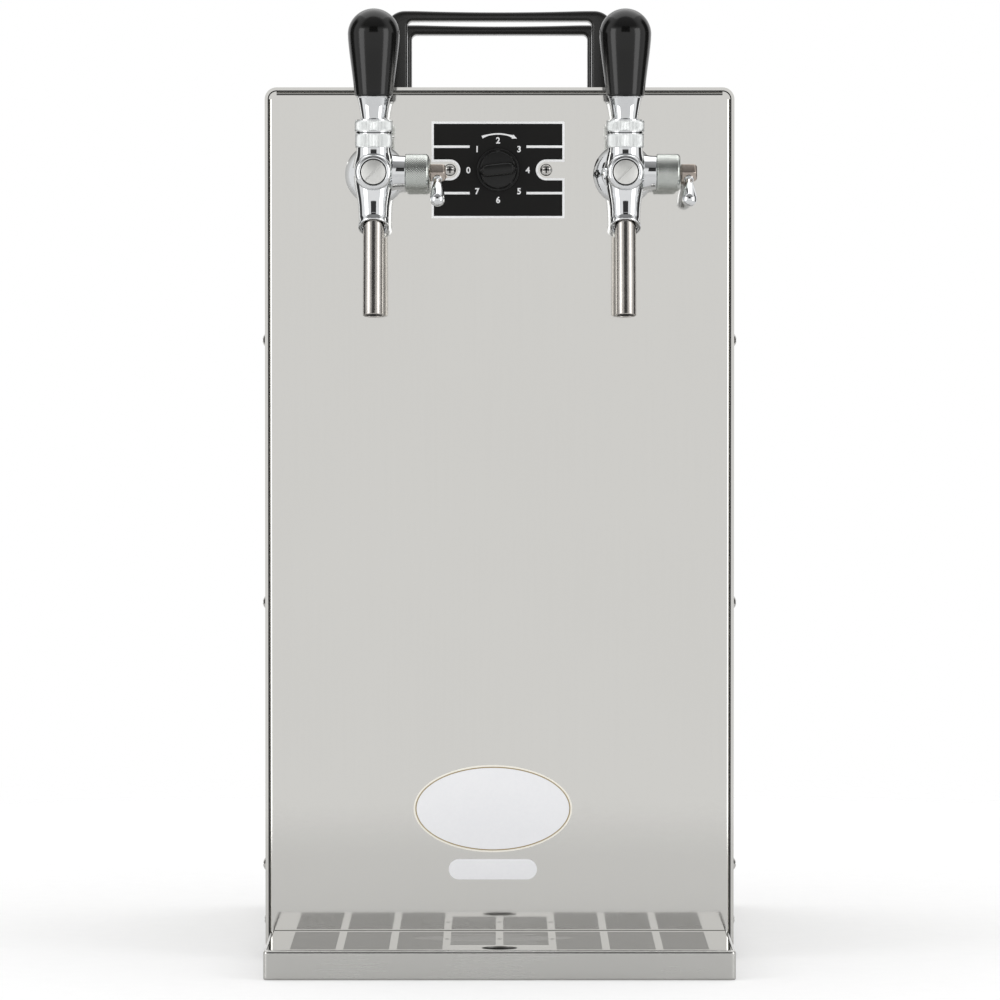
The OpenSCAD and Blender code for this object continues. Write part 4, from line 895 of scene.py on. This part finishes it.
@dataclass
class Tap:
    """One tap. Sizes are in millimetres from the tap axis at the front face."""

    side: int
    pitch: float = 167.0
    z: float = 529.5
    reach: float = 58.0
    front: float = 74.0
    barrel_r: float = 12.5
    tail_u: float = 34.0
    joint_u: float = 26.0
    tail_r: float = 10.0
    seat_r: float = 4.0
    nose_r: float = 3.0
    neck_r: float = 11.7
    pivot: float = 17.2
    comp_u: float = 52.0
    boss_x: float = 21.0
    collar_x: float = 36.7
    collar_r: float = 12.5
    stem_r: float = 3.0
    stem_hole: float = 3.15
    stem_in: float = 6.5
    rod_x: float = 42.3
    tilt: float = 10.0
    cut: float = 23.0
    cut_start: float = 27.0
    cut_run: float = 8.0
    cut_r: float = 10.0
    socket_end: float = 37.5
    spout_in: float = 22.0
    spout_ring: float = 14.0
    spout_l: float = 96.5
    spout_r: float = 7.0
    wall: float = 1.2
    bore_l: float = 60.0
    bore_clear: float = 6.5
    bore_shade_sink: float = 0.05
    bore_shade_rise: float = 0.25
    bore_shade_in: float = 0.8
    lever_room: float = 9.5
    stem_room: float = 8.0
    bonnet_band: Triple = (16.4, 25.7, 12.28)
    collar_band: Triple = (26.9, 34.5, 12.6)
    lever_hole: float = 4.1
    lever_tilt: float = 40.0
    collar_top: float = 34.8
    ferrule_top: float = 50.8
    grip_top: float = 108.8
    grip_r: float = 17.2
    disc_r: float = 8.1
    slot_w: float = 0.9
    slot_deep: float = 0.5
    slot_turn: float = 46.0
    groove_shade_r: float = 8.42
    groove_shade_in: float = 1.5
    groove_shade_bead: float = 0.36
    hex_corner: tuple[Point, ...] = ((-3.0, 0.985), (0.0, 0.995), (3.0, 0.985))

    @property
    def name(self) -> str:
        """Name of the side."""
        return "left" if self.side < 0 else "right"

    def at(self, x: float, u: float, z: float, axis: Sequence[float]) -> Matrix:
        """Frame at a point of the tap."""
        return frame_at((self.side * self.pitch / 2 + x, FRONT_Y - u, self.z + z), axis)

    def upright(self, z: float = 0.0) -> Matrix:
        """Frame on the lever axis, upwards."""
        return self.at(0, self.reach, z, (0, 0, 1))

    def down(self) -> Matrix:
        """Frame along the spout, downwards."""
        a = math.radians(self.tilt)
        return self.at(0, self.reach, 0, (0, -math.sin(a), -math.cos(a)))

    def build(self) -> None:
        """Makes the pieces of the tap and dresses its nodes."""
        side, lever = self.name, f"{self.name}_lever"
        tap = f"{side}_tap"
        self.body().piece(f"{tap}_casting", Look.CHROME, "case", "tap_chrome", [f"{tap}_body"])
        self.cap().piece(f"{tap}_disc", Look.SATIN, "case", "tap_chrome", [f"{tap}_cap"])
        # Painted shade: a dark ring stands in for the shade in the groove round the disc.
        self.groove_shade().piece(f"{tap}_seal", Look.RUBBER_AND_SHADE, "case", "black_rubber")
        self.spout().piece(f"{tap}_pipe", Look.SPOUT, "case", "tap_chrome", [f"{tap}_spout"])
        # Painted shade: a dark lining stands in for the shade inside the spout.
        self.bore().piece(f"{tap}_bore", Look.INNER_BLACK, "case", "tap_chrome")
        self.sleeve(*self.bonnet_band).piece(f"{tap}_bonnet_knurl", Look.KNURL, "case", "tap_chrome")
        self.sleeve(*self.collar_band).piece(f"{tap}_collar_knurl", Look.KNURL, lever, "tap_chrome")
        self.ferrule().piece(f"{tap}_cone", Look.CHROME, lever, "tap_chrome", [f"{tap}_ferrule"])
        self.grip().piece(f"{tap}_grip", Look.GRIP, lever, "black_plastic", [f"{tap}_handle"])
        comp = f"{side}_compensator"
        self.comp_collar().piece(f"{comp}_knurl", Look.COLLAR, "case", "tap_chrome", [f"{comp}_collar"])
        self.comp_stem().piece(f"{comp}_stem", Look.NICKEL, comp, "tap_chrome", [f"{comp}_lever"])
        self.comp_lever().piece(f"{comp}_rod", Look.CHROME, comp, "tap_chrome")
        dress(Look.CHROME, f"{tap}_shank", f"{tap}_bonnet", f"{tap}_lever")
        dress(Look.INNER_STEEL, f"{tap}_valve")

    def body(self) -> Shape:
        """Barrel, neck, compensator boss and spout socket of the casting.

        Returns:
            The casting as one shape.
        """
        x0 = self.side * self.pitch / 2

        def outside(p: Vector) -> bool:
            """Tests a point against the room of the lever and the compensator's stem.

            Args:
                p: Point on the barrel.

            Returns:
                True where neither of them passes.
            """
            x, u, z = p.x - x0, FRONT_Y - p.y, p.z - self.z
            in_neck = math.hypot(x, u - self.reach) < self.lever_room and z > 1
            in_boss = math.hypot(u - self.comp_u, z) < self.stem_room and x > 0
            return not (in_neck or in_boss)

        def off_bore(p: Vector) -> bool:
            """True outside the bore that the valve slides in."""
            return math.hypot(p.x - x0, p.z - self.z) > self.bore_clear

        made = Shape()
        r, f, nose = self.barrel_r, self.front, self.nose_r
        tail, seat, rear, fore = self.tail_r, self.seat_r, self.joint_u, self.tail_u
        barrel = [
            (seat, fore), (seat, rear), (tail - 0.3, rear), (tail, rear + 0.3), (tail, fore - 0.6),
            *curve([(tail + 0.6, fore), (r - 0.7, fore + 2.2), (r, fore + 6)], 5),
            *[(x, f + 1.5 * (y - nose)) for x, y in arc((r - nose, 0.0), nose, 0, 88, 14)], (r - 3.2, f),
            *arc((r - 3.2, f - 0.5), 0.5, 90, 180, 4), (r - 3.75, f - 4.0),
        ]
        made.lathe(self.at(0, 0, 0, (0, -1, 0)), barrel, 128, keep=outside)
        n = self.neck_r
        swell = [(n + 2.4, 3.0), (n + 1.3, 8.0), (n + 0.2, 12.4), (n - 0.1, 15.6), (n - 0.1, self.pivot)]
        neck = [*curve(swell, 6), (7.6, self.pivot), (7.4, 14.0)]
        made.lathe(self.upright(), neck, 128, keep=off_bore)
        boss = [*curve([(14.2, 5.0), (12.9, 9.0), (11.9, 13.0), (11.3, 16.5), (11.15, 20.4)], 5),
                (10.9, self.boss_x), (self.stem_hole + 0.05, self.boss_x)]
        made.lathe(self.at(0, self.comp_u, 0, (1, 0, 0)), boss, 128)
        end = self.socket_end
        socket = [
            *curve([(13.3, 3.0), (12.6, 9.0), (11.7, 14.0), (10.75, 19.0)], 6),
            *curve([(10.3, 23.0), (10.0, 28.0), (9.85, 33.0)], 6),
            *curve([(9.95, 34.6), (10.2, 36.0), (10.3, end - 0.8)], 4),
            *arc((9.75, end - 0.5), 0.5, 20, 90, 4), *arc((9.1, end - 0.5), 0.5, 90, 180, 4),
            (8.6, end - 3.0), (7.1, end - 3.4), (7.05, 26.0),
        ]
        rise = self.cut_r * math.tan(math.radians(self.cut))

        def oblique(angle: float, height: float) -> Point:
            """Draws the socket's end up at the front.

            Args:
                angle: Angle round the spout.
                height: Distance along the spout.

            Returns:
                Change of radius and height.
            """
            share = min(1.0, max(0.0, (height - self.cut_start) / self.cut_run))
            share = share * share * (3 - 2 * share)
            return 0.0, -share * rise * math.sin(angle)

        return made.lathe(self.down(), socket, 128, ripple=oblique, keep=off_bore)

    def cap(self) -> Shape:
        """Disc in the front of the barrel, with a slot across it.

        Returns:
            The disc as one shape.
        """
        face = self.front - 0.3
        floor = face - self.slot_deep
        at = self.at(0, 0, 0, (0, -1, 0)) @ Matrix.Rotation(math.radians(self.slot_turn), 4, "Z")
        made = Shape().lathe(at, [(self.disc_r, floor - 4.0), (self.disc_r, floor), (TIP, floor)], 96)
        for side in (0, 180):
            half = at @ Matrix.Rotation(math.radians(side), 4, "Z")
            rings = []
            for h, inset in ((floor - 0.1, 0.0), (face - 0.35, 0.0), (face - 0.1, 0.1), (face, 0.3)):
                r, low = self.disc_r - inset, self.slot_w / 2 + inset * 0.4
                start = math.degrees(math.asin(low / r))
                rings.append([half @ Vector((x, y, h)) for x, y in arc((0, 0), r, start, 180 - start, 48)])
            made.loft(rings)
        return made

    def groove_shade(self) -> Shape:
        """Dark ring of painted shade in the groove round the disc.

        Returns:
            The ring as one shape.
        """
        ring = arc((self.groove_shade_r, self.front - self.groove_shade_in), self.groove_shade_bead, 0, 330, 11)
        return Shape().lathe(self.at(0, 0, 0, (0, -1, 0)), ring, 96, closed=True)

    def spout(self) -> Shape:
        """Spout with rounded lips.

        Returns:
            The tube as one shape.
        """
        r, inner, start, end = self.spout_r, self.spout_r - self.wall, self.spout_in, self.spout_l
        lip, ring = self.wall / 2, self.spout_l - self.spout_ring
        wall = [(r, start), (r, ring), (r, end - lip), *arc((r - lip, end - lip), lip, 0, 180, 8),
                (inner, ring), (inner, start)]
        return Shape().lathe(self.down(), wall, 96, closed=True)

    def bore(self) -> Shape:
        """Dark lining of painted shade inside the spout.

        Returns:
            The lining as one shape.
        """
        start, end = self.spout_l - self.bore_l, self.spout_l - self.bore_shade_in
        outer = self.spout_r - self.wall + self.bore_shade_sink
        inner = self.spout_r - self.wall - self.bore_shade_rise
        bore_shade_profile = [(outer, start), (outer, end), (inner, end), (inner, start)]
        return Shape().lathe(self.down(), bore_shade_profile, 96, closed=True)

    def sleeve(self, low: float, high: float, radius: float) -> Shape:
        """Knurled band about the lever axis.

        Args:
            low: Height of its lower edge.
            high: Height of its upper edge.
            radius: Radius over the ridges.

        Returns:
            The band as one shape.
        """
        count, deep, rows = 72, 0.25, 12
        chamfer, fade, drop = 0.7, 0.4, 0.5

        def ridges(angle: float, height: float) -> Point:
            """Straight ridges that fade at the chamfers."""
            inside = min(1.0, max(0.0, min(height - low, high - height) / chamfer - fade))
            return deep * inside * (abs(math.sin(count * angle / 2)) - 1), 0.0

        heights = [low + chamfer / 2 + (high - low - chamfer) * i / rows for i in range(rows + 1)]
        profile = [(radius - drop, low), *[(radius, h) for h in heights], (radius - drop, high)]
        return Shape().lathe(self.upright(), profile, count * 4, ripple=ridges)

    def ferrule(self) -> Shape:
        """Flared ferrule under the grip.

        Returns:
            The ferrule as one shape.
        """
        low, high, hole = self.collar_top, self.ferrule_top, self.lever_hole
        profile = [
            (hole, low), (8.9, low), *arc((8.9, low + 0.45), 0.45, -90, 90, 6), (8.35, low + 1.1),
            *curve([(8.4, low + 1.6), (9.0, low + 5.0), (9.95, low + 10.0), (11.1, low + 14.6)], 6),
            *arc((11.1, high - 0.7), 0.65, 0, 90, 4), (hole, high),
        ]
        return Shape().lathe(self.upright(), profile, 96)

    def grip(self) -> Shape:
        """Handle grip: a cone that ends in a dome.

        Returns:
            The grip as one shape.
        """
        low, r = self.ferrule_top, self.grip_r
        middle = self.grip_top - r
        profile = [
            (self.lever_hole, low), (11.9, low), *arc((11.9, low + 0.8), 0.8, -90, -8, 5),
            *curve([(12.9, low + 3.0), (14.4, low + 15.0), (16.2, low + 29.0), (17.0, middle - 4.0)], 8),
            *arc((0, middle), r, 0, 89.9, 26),
        ]
        return Shape().lathe(self.upright(), profile, 112)

    def comp_collar(self) -> Shape:
        """Collar of the compensator with crossed knurls.

        Returns:
            The collar as one shape.
        """
        low, high, r = self.boss_x, self.collar_x, self.collar_r
        count, deep, lead, rows = 48, 0.5, 0.52, 36
        foot, rounding = 0.4, 2.8
        foot_run, foot_in, end_run, end_in = 0.6, 0.5, 1.2, 1.6

        def ridges(angle: float, height: float) -> Point:
            """Crossed ridges that fade at both ends.

            Args:
                angle: Angle round the collar.
                height: Distance along the collar.

            Returns:
                Change of radius and height.
            """
            run = (height - low) / lead
            waves = abs(math.sin(count * angle / 2 + run)) + abs(math.sin(count * angle / 2 - run))
            fades = ((height - low) / foot_run - foot_in, (high - end_in - height) / end_run)
            return deep * min(1.0, *(max(0.0, fade) for fade in fades)) * (waves / 2 - 1), 0.0

        start, end = low + foot, high - rounding
        straight = [(r, start + (end - start) * i / rows) for i in range(rows + 1)]
        shoulder = arc((r - rounding, high - rounding), rounding, 8, 90, 10)
        hole = self.stem_hole
        profile = [(hole, low), (r - 0.35, low), *straight, *shoulder, (hole, high)]
        return Shape().lathe(self.at(0, self.comp_u, 0, (1, 0, 0)), profile, count * 4, ripple=ridges)

    def comp_stem(self) -> Shape:
        """Stem of the compensator with its hexagon.

        Returns:
            The stem as one shape.
        """
        at = self.at(0, self.comp_u, 0, (1, 0, 0))
        stations = (
            (37.1, 5.9), (37.5, 6.35), (38.0, 6.5), (45.6, 6.5), (46.6, 6.1), (47.4, 5.3), (47.8, 4.4),
        )
        overlap = 0.3
        r, low, high = self.stem_r, self.stem_in, stations[0][0] + overlap
        made = Shape().lathe(at, [(TIP, low), (r, low), (r, high)], 48)
        rings = []
        corners = [(math.radians(60 * i + d), k) for i in range(6) for d, k in self.hex_corner]
        for h, r in stations:
            rings.append([at @ Vector((r * k * math.cos(a), r * k * math.sin(a), h)) for a, k in corners])
        return made.loft(rings)

    def comp_lever(self) -> Shape:
        """Lever of the compensator: a collar, a rod and a drop-shaped end.

        Returns:
            The lever as one shape.
        """
        a = math.radians(self.lever_tilt)
        at = self.at(self.rod_x, self.comp_u, 0, (0, -math.sin(a), -math.cos(a)))
        profile = [
            (3.35, 3.5), (3.35, 6.0), *arc((2.95, 6.0), 0.4, 0, 90, 4), (2.6, 6.6),
            *curve([(2.5, 7.6), (2.8, 9.6), (3.55, 12.6), (4.3, 16.2), (4.8, 20.0), (5.0, 22.8)], 6),
            *arc((0, 23.2), 5.0, 4, 89.8, 14),
        ]
        return Shape().lathe(at, profile, 64)


@dataclass
class DripTray:
    """Tray with bent edges, and its slotted grate."""

    width: float = 309.4
    depth: float = 135.6
    gap: float = 0.4
    height: float = 19.5
    corner: float = 3.0
    foot_bend: float = 1.2
    rim_bend: float = 2.0
    rim: float = 2.1
    ledge: float = 7.0
    ledge_z: float = 18.3
    floor: float = 1.0
    support: float = 0.4
    corners: tuple[Triple, ...] = ((1, 1, 0), (-1, 1, 90), (-1, -1, 180), (1, -1, 270))
    steep: float = 0.5
    square: float = 0.9999
    slot_bevel: float = 0.3
    full: float = 1.0
    slight: float = 0.1
    snap: float = 0.01

    def outline(self, inset: float, z: float) -> list[Vector]:
        """Outline of the tray with round corners.

        Args:
            inset: Distance by which the outline is drawn in.
            z: Height of the outline.

        Returns:
            Its points, with two more close to the ends of each straight side.
        """
        r = max(self.corner - inset, self.corner / 2)
        x, y = self.width / 2 - inset - r, self.depth / 2 - inset - r
        middle = FRONT_Y - self.gap - self.depth / 2
        bends = [arc((sx * x, middle + sy * y), r, a, a + 90, 8) for sx, sy, a in self.corners]
        made = []
        for bend, after in zip(bends, [*bends[1:], bends[0]]):
            start, end = Vector(bend[-1]), Vector(after[0])
            step = (end - start).normalized() * self.support
            made += [*bend, start + step, end - step]
        return [Vector((px, py, z)) for px, py in made]

    def shell(self) -> Shape:
        """Skirt, rim, ledge and pan of the tray.

        Returns:
            The tray as one shape.
        """
        top, foot, rim = self.height, self.foot_bend, self.rim_bend
        profile = [
            *arc((foot, foot), foot, 270, 180, 4), (0.0, foot + self.support),
            (0.0, top - rim - self.support), *arc((rim, top - rim), rim, 180, 90, 6),
            (self.rim, top), (self.rim, self.ledge_z), (self.ledge, self.ledge_z), (self.ledge, self.floor),
        ]
        return Shape().loft([self.outline(inset, z) for inset, z in profile])

    def build(self) -> None:
        """Makes the tray, dresses the grate and takes the edges off its slots."""
        self.shell().piece("drip_tray_shell", Look.TRAY, "tray", "case_steel", ["drip_tray"])
        dress(Look.GRATE, "drip_grate")
        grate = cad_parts["drip_grate"]
        # The walls take a second finish: sheared grain with painted shade in the slots and the finger hole.
        grate.data.materials.append(Look.SHEARED_SHADE.value.material())
        self.mark_edges(grate.data)
        weld = grate.modifiers.new("weld", "WELD")
        weld.merge_threshold = self.snap * MM
        bevel = grate.modifiers.new("slot_edges", "BEVEL")
        bevel.width = self.slot_bevel * MM
        bevel.segments = 2
        bevel.limit_method = "WEIGHT"
        bevel.material = 0

    def mark_edges(self, mesh: bpy.types.Mesh) -> None:
        """Darkens the walls of the grate with painted shade over their sheared grain, and weights its upper
        edges, most where a wall faces forwards.

        Args:
            mesh: Mesh of the grate.
        """
        near = self.snap * MM
        top = max(v.co.z for v in mesh.vertices) - near

        def place(ends: Sequence[int]) -> tuple[int, ...] | None:
            """Middle of an upper edge in steps of the weld, or None for any other edge."""
            a, b = (mesh.vertices[i].co for i in ends)
            return tuple(round(c / near) for c in (a + b) / 2) if min(a.z, b.z) > top else None

        walls = [face for face in mesh.polygons if abs(face.normal.z) < self.steep]
        for face in walls:
            face.material_index = 1
        known = {place(ends): self.full if face.normal.y < -self.square else self.slight
                 for face in walls for ends in face.edge_keys}
        known[None] = 0.0
        weights = mesh.attributes.new("bevel_weight_edge", "FLOAT", "EDGE")
        for edge in mesh.edges:
            weights.data[edge.index].value = known.get(place(edge.vertices), 0.0)


@dataclass
class Refrigeration:
    """What is inside the case."""

    copper: tuple[str, ...] = (
        "condenser_coil", "filter_drier", "capillary_line", "suction_line", "discharge_line",
    )

    def build(self) -> None:
        """Dresses the nodes inside the case."""
        dress(Look.COPPER, *self.copper)
        dress(Look.SHELL, "compressor")
        dress(Look.RUBBER_AND_SHADE, "compressor_grommets")
        dress(Look.ALUMINIUM, "condenser_fins", "cooling_block")
        dress(Look.INNER_STEEL, "fan_shroud", "fan_shaft")
        dress(Look.INNER_BLACK, "fan_motor", "fan_blade")
        dress(Look.FOAM, "insulation_box", "insulation_lid")
        dress(Look.LINE, "beer_lines")
        dress(Look.CHROME, "coupling_nuts")


@dataclass
class Lamp:
    """A soft rectangular lamp that is aimed at the object."""

    name: str
    place: Triple
    size: Point
    watts: float

    def build(self, target: Vector) -> None:
        """Adds the lamp.

        Args:
            target: Point that the lamp faces.
        """
        data = bpy.data.lights.new(self.name, "AREA")
        data.shape = "RECTANGLE"
        data.size, data.size_y = self.size
        data.energy = self.watts
        made = bpy.data.objects.new(self.name, data)
        made.location = self.place
        made.rotation_mode = "QUATERNION"
        made.rotation_quaternion = (target - made.location).to_track_quat("-Z", "Y")
        bpy.context.scene.collection.objects.link(made)


@dataclass
class Studio:
    """Camera, floor, lamps and the white surroundings."""

    eye: Triple = (0.0003, -4.444, 0.4377)
    target: Triple = (0.0003, -0.144, 0.3103)
    lens: float = 229.8
    aim: Triple = (0.0, 0.0, 0.3)
    floor_r: float = 1.6
    floor_tones: Point = (0.71, 0.74)
    floor_grain: float = 60.0
    floor_detail: float = 3.0
    floor_fade: Point = (0.55, 0.98)
    floor_glow: float = 0.22
    mirror_glow: float = 0.03
    ambient: float = 0.85
    front_turn: Point = (50, 80)
    gap_turn: float = 20.0
    gap_rise: Triple = (7.5, 33, 0.8)
    gap_dark: float = 0.95
    ceiling_rise: Point = (20, 34)
    ceiling_dark: float = 0.95
    ceiling_fall: float = 0.0055
    ground_rise: Point = (-14, -8)
    ground_dark: float = 0.18
    side_turn: Triple = (98, 128, 4)
    side_rise: Triple = (-30, 40, 6)
    side_dark: float = 0.95
    lamps: list[Lamp] = field(default_factory=lambda: [
        Lamp("left_box", (-1.75, -1.35, 0.62), (0.9, 1.6), 11.0),
        Lamp("right_box", (1.75, -1.35, 0.62), (0.9, 1.6), 11.0),
        Lamp("top_box", (0.0, 0.7, 2.4), (2.5, 2.5), 18.0),
    ])

    def build(self) -> None:
        """Makes the whole studio."""
        bpy.context.scene.view_settings.view_transform = "Standard"
        self.camera()
        self.floor()
        self.surroundings()
        for lamp in self.lamps:
            lamp.build(Vector(self.aim))

    def camera(self) -> None:
        """Sets the camera at the photograph's angle."""
        data = bpy.data.cameras.new("camera")
        data.lens = self.lens
        made = bpy.data.objects.new("camera", data)
        made.location = self.eye
        made.rotation_mode = "QUATERNION"
        made.rotation_quaternion = (Vector(self.target) - Vector(self.eye)).to_track_quat("-Z", "Y")
        bpy.context.scene.collection.objects.link(made)
        bpy.context.scene.camera = made

    def floor(self) -> None:
        """Pale round floor that fades into the white surroundings."""
        shape = Shape().lathe(Matrix.Identity(4), [(self.floor_r / MM, 0.0), (TIP, 0.0)], 96)
        mesh = bpy.data.meshes.new("floor")
        mesh.from_pydata([v * MM for v in shape.verts], [], shape.faces)
        made = bpy.data.objects.new("floor", mesh)
        bpy.context.scene.collection.objects.link(made)
        paint = bpy.data.materials.new("floor_paint")
        tree = Tree(paint)
        place = tree.node("ShaderNodeTexCoord", {}, {}, "Object")
        speck = tree.noise(place, self.floor_grain, self.floor_detail)
        tone = speck.mix(*((grey, grey, grey, 1) for grey in self.floor_tones))
        matt = tree.node("ShaderNodeBsdfDiffuse", {}, {"Color": tone})
        straight = tree.node("ShaderNodeLightPath", {}, {}, "Is Camera Ray")
        lift = straight * (self.floor_glow - self.mirror_glow) + self.seen(tree) * self.mirror_glow
        glow = tree.node("ShaderNodeEmission", {}, {"Strength": lift})
        lit = tree.node("ShaderNodeAddShader", {}, {0: matt, 1: glow})
        clear = tree.node("ShaderNodeBsdfTransparent", {}, {})
        far = tree.node("ShaderNodeVectorMath", {"operation": "LENGTH"}, {0: place}, "Value")
        fade = far.step(*(self.floor_r * share for share in self.floor_fade))
        surface = tree.node("ShaderNodeMixShader", {}, {0: fade, 1: lit, 2: clear})
        tree.node("ShaderNodeOutputMaterial", {}, {"Surface": surface})
        mesh.materials.append(paint)

    def seen(self, tree: Tree) -> Value:
        """1 for what the camera sees, straight or in metal and glass, and 0 for plain light.

        Args:
            tree: Tree of the material or the world.

        Returns:
            The value.
        """
        kinds = ("Camera", "Glossy", "Transmission")
        rays = [tree.node("ShaderNodeLightPath", {}, {}, f"Is {kind} Ray") for kind in kinds]
        return rays[0].maths("MAXIMUM", rays[0], rays[1].maths("MAXIMUM", rays[1], rays[2]))

    def surroundings(self) -> None:
        """White for the camera and for metal, with dark gaps between the white walls."""
        world = bpy.data.worlds.new("studio")
        bpy.context.scene.world = world
        tree = Tree(world)
        way = tree.node("ShaderNodeTexCoord", {}, {}, "Generated")
        x, y, z = (tree.node("ShaderNodeSeparateXYZ", {}, {0: way}, i) for i in range(3))
        turn = abs(x.maths("ARCTAN2", x, y * -1.0)) * (180 / math.pi)
        rise = z.maths("ARCSINE", z) * (180 / math.pi)
        front = 1.0 - turn.step(*self.front_turn)
        gap = turn.maths("LESS_THAN", turn, self.gap_turn) * rise.band(*self.gap_rise)
        ceiling = front * rise.step(*self.ceiling_rise) * (self.ceiling_dark - rise * self.ceiling_fall)
        ground = front * (1.0 - rise.step(*self.ground_rise)) * self.ground_dark
        sides = turn.band(*self.side_turn) * rise.band(*self.side_rise)
        glossy = tree.node("ShaderNodeLightPath", {}, {}, "Is Glossy Ray")
        shades = (gap * self.gap_dark, ceiling, ground, sides * self.side_dark)
        dark = glossy * (1.0 - math.prod(1.0 - shade for shade in shades))
        seen = self.seen(tree)
        strength = seen * (1.0 - dark) + (1.0 - seen) * self.ambient
        light = tree.node("ShaderNodeBackground", {}, {"Color": (1, 1, 1, 1), "Strength": strength})
        tree.node("ShaderNodeOutputWorld", {}, {"Surface": light})


def main() -> None:
    """Builds the studio and the sub-assemblies in order."""
    logging.basicConfig(level=logging.INFO, format="%(message)s")
    parts = [
        Studio(), Case(), CarryHandle("front_handle", -53.0), CarryHandle("rear_handle", 165.0), Thermostat(),
        Badges(), Tap(-1), Tap(1), DripTray(), Refrigeration(),
    ]
    for part in parts:
        part.build()
        LOG.info("built %s", type(part).__name__)


if __name__ == "__main__":
    main()
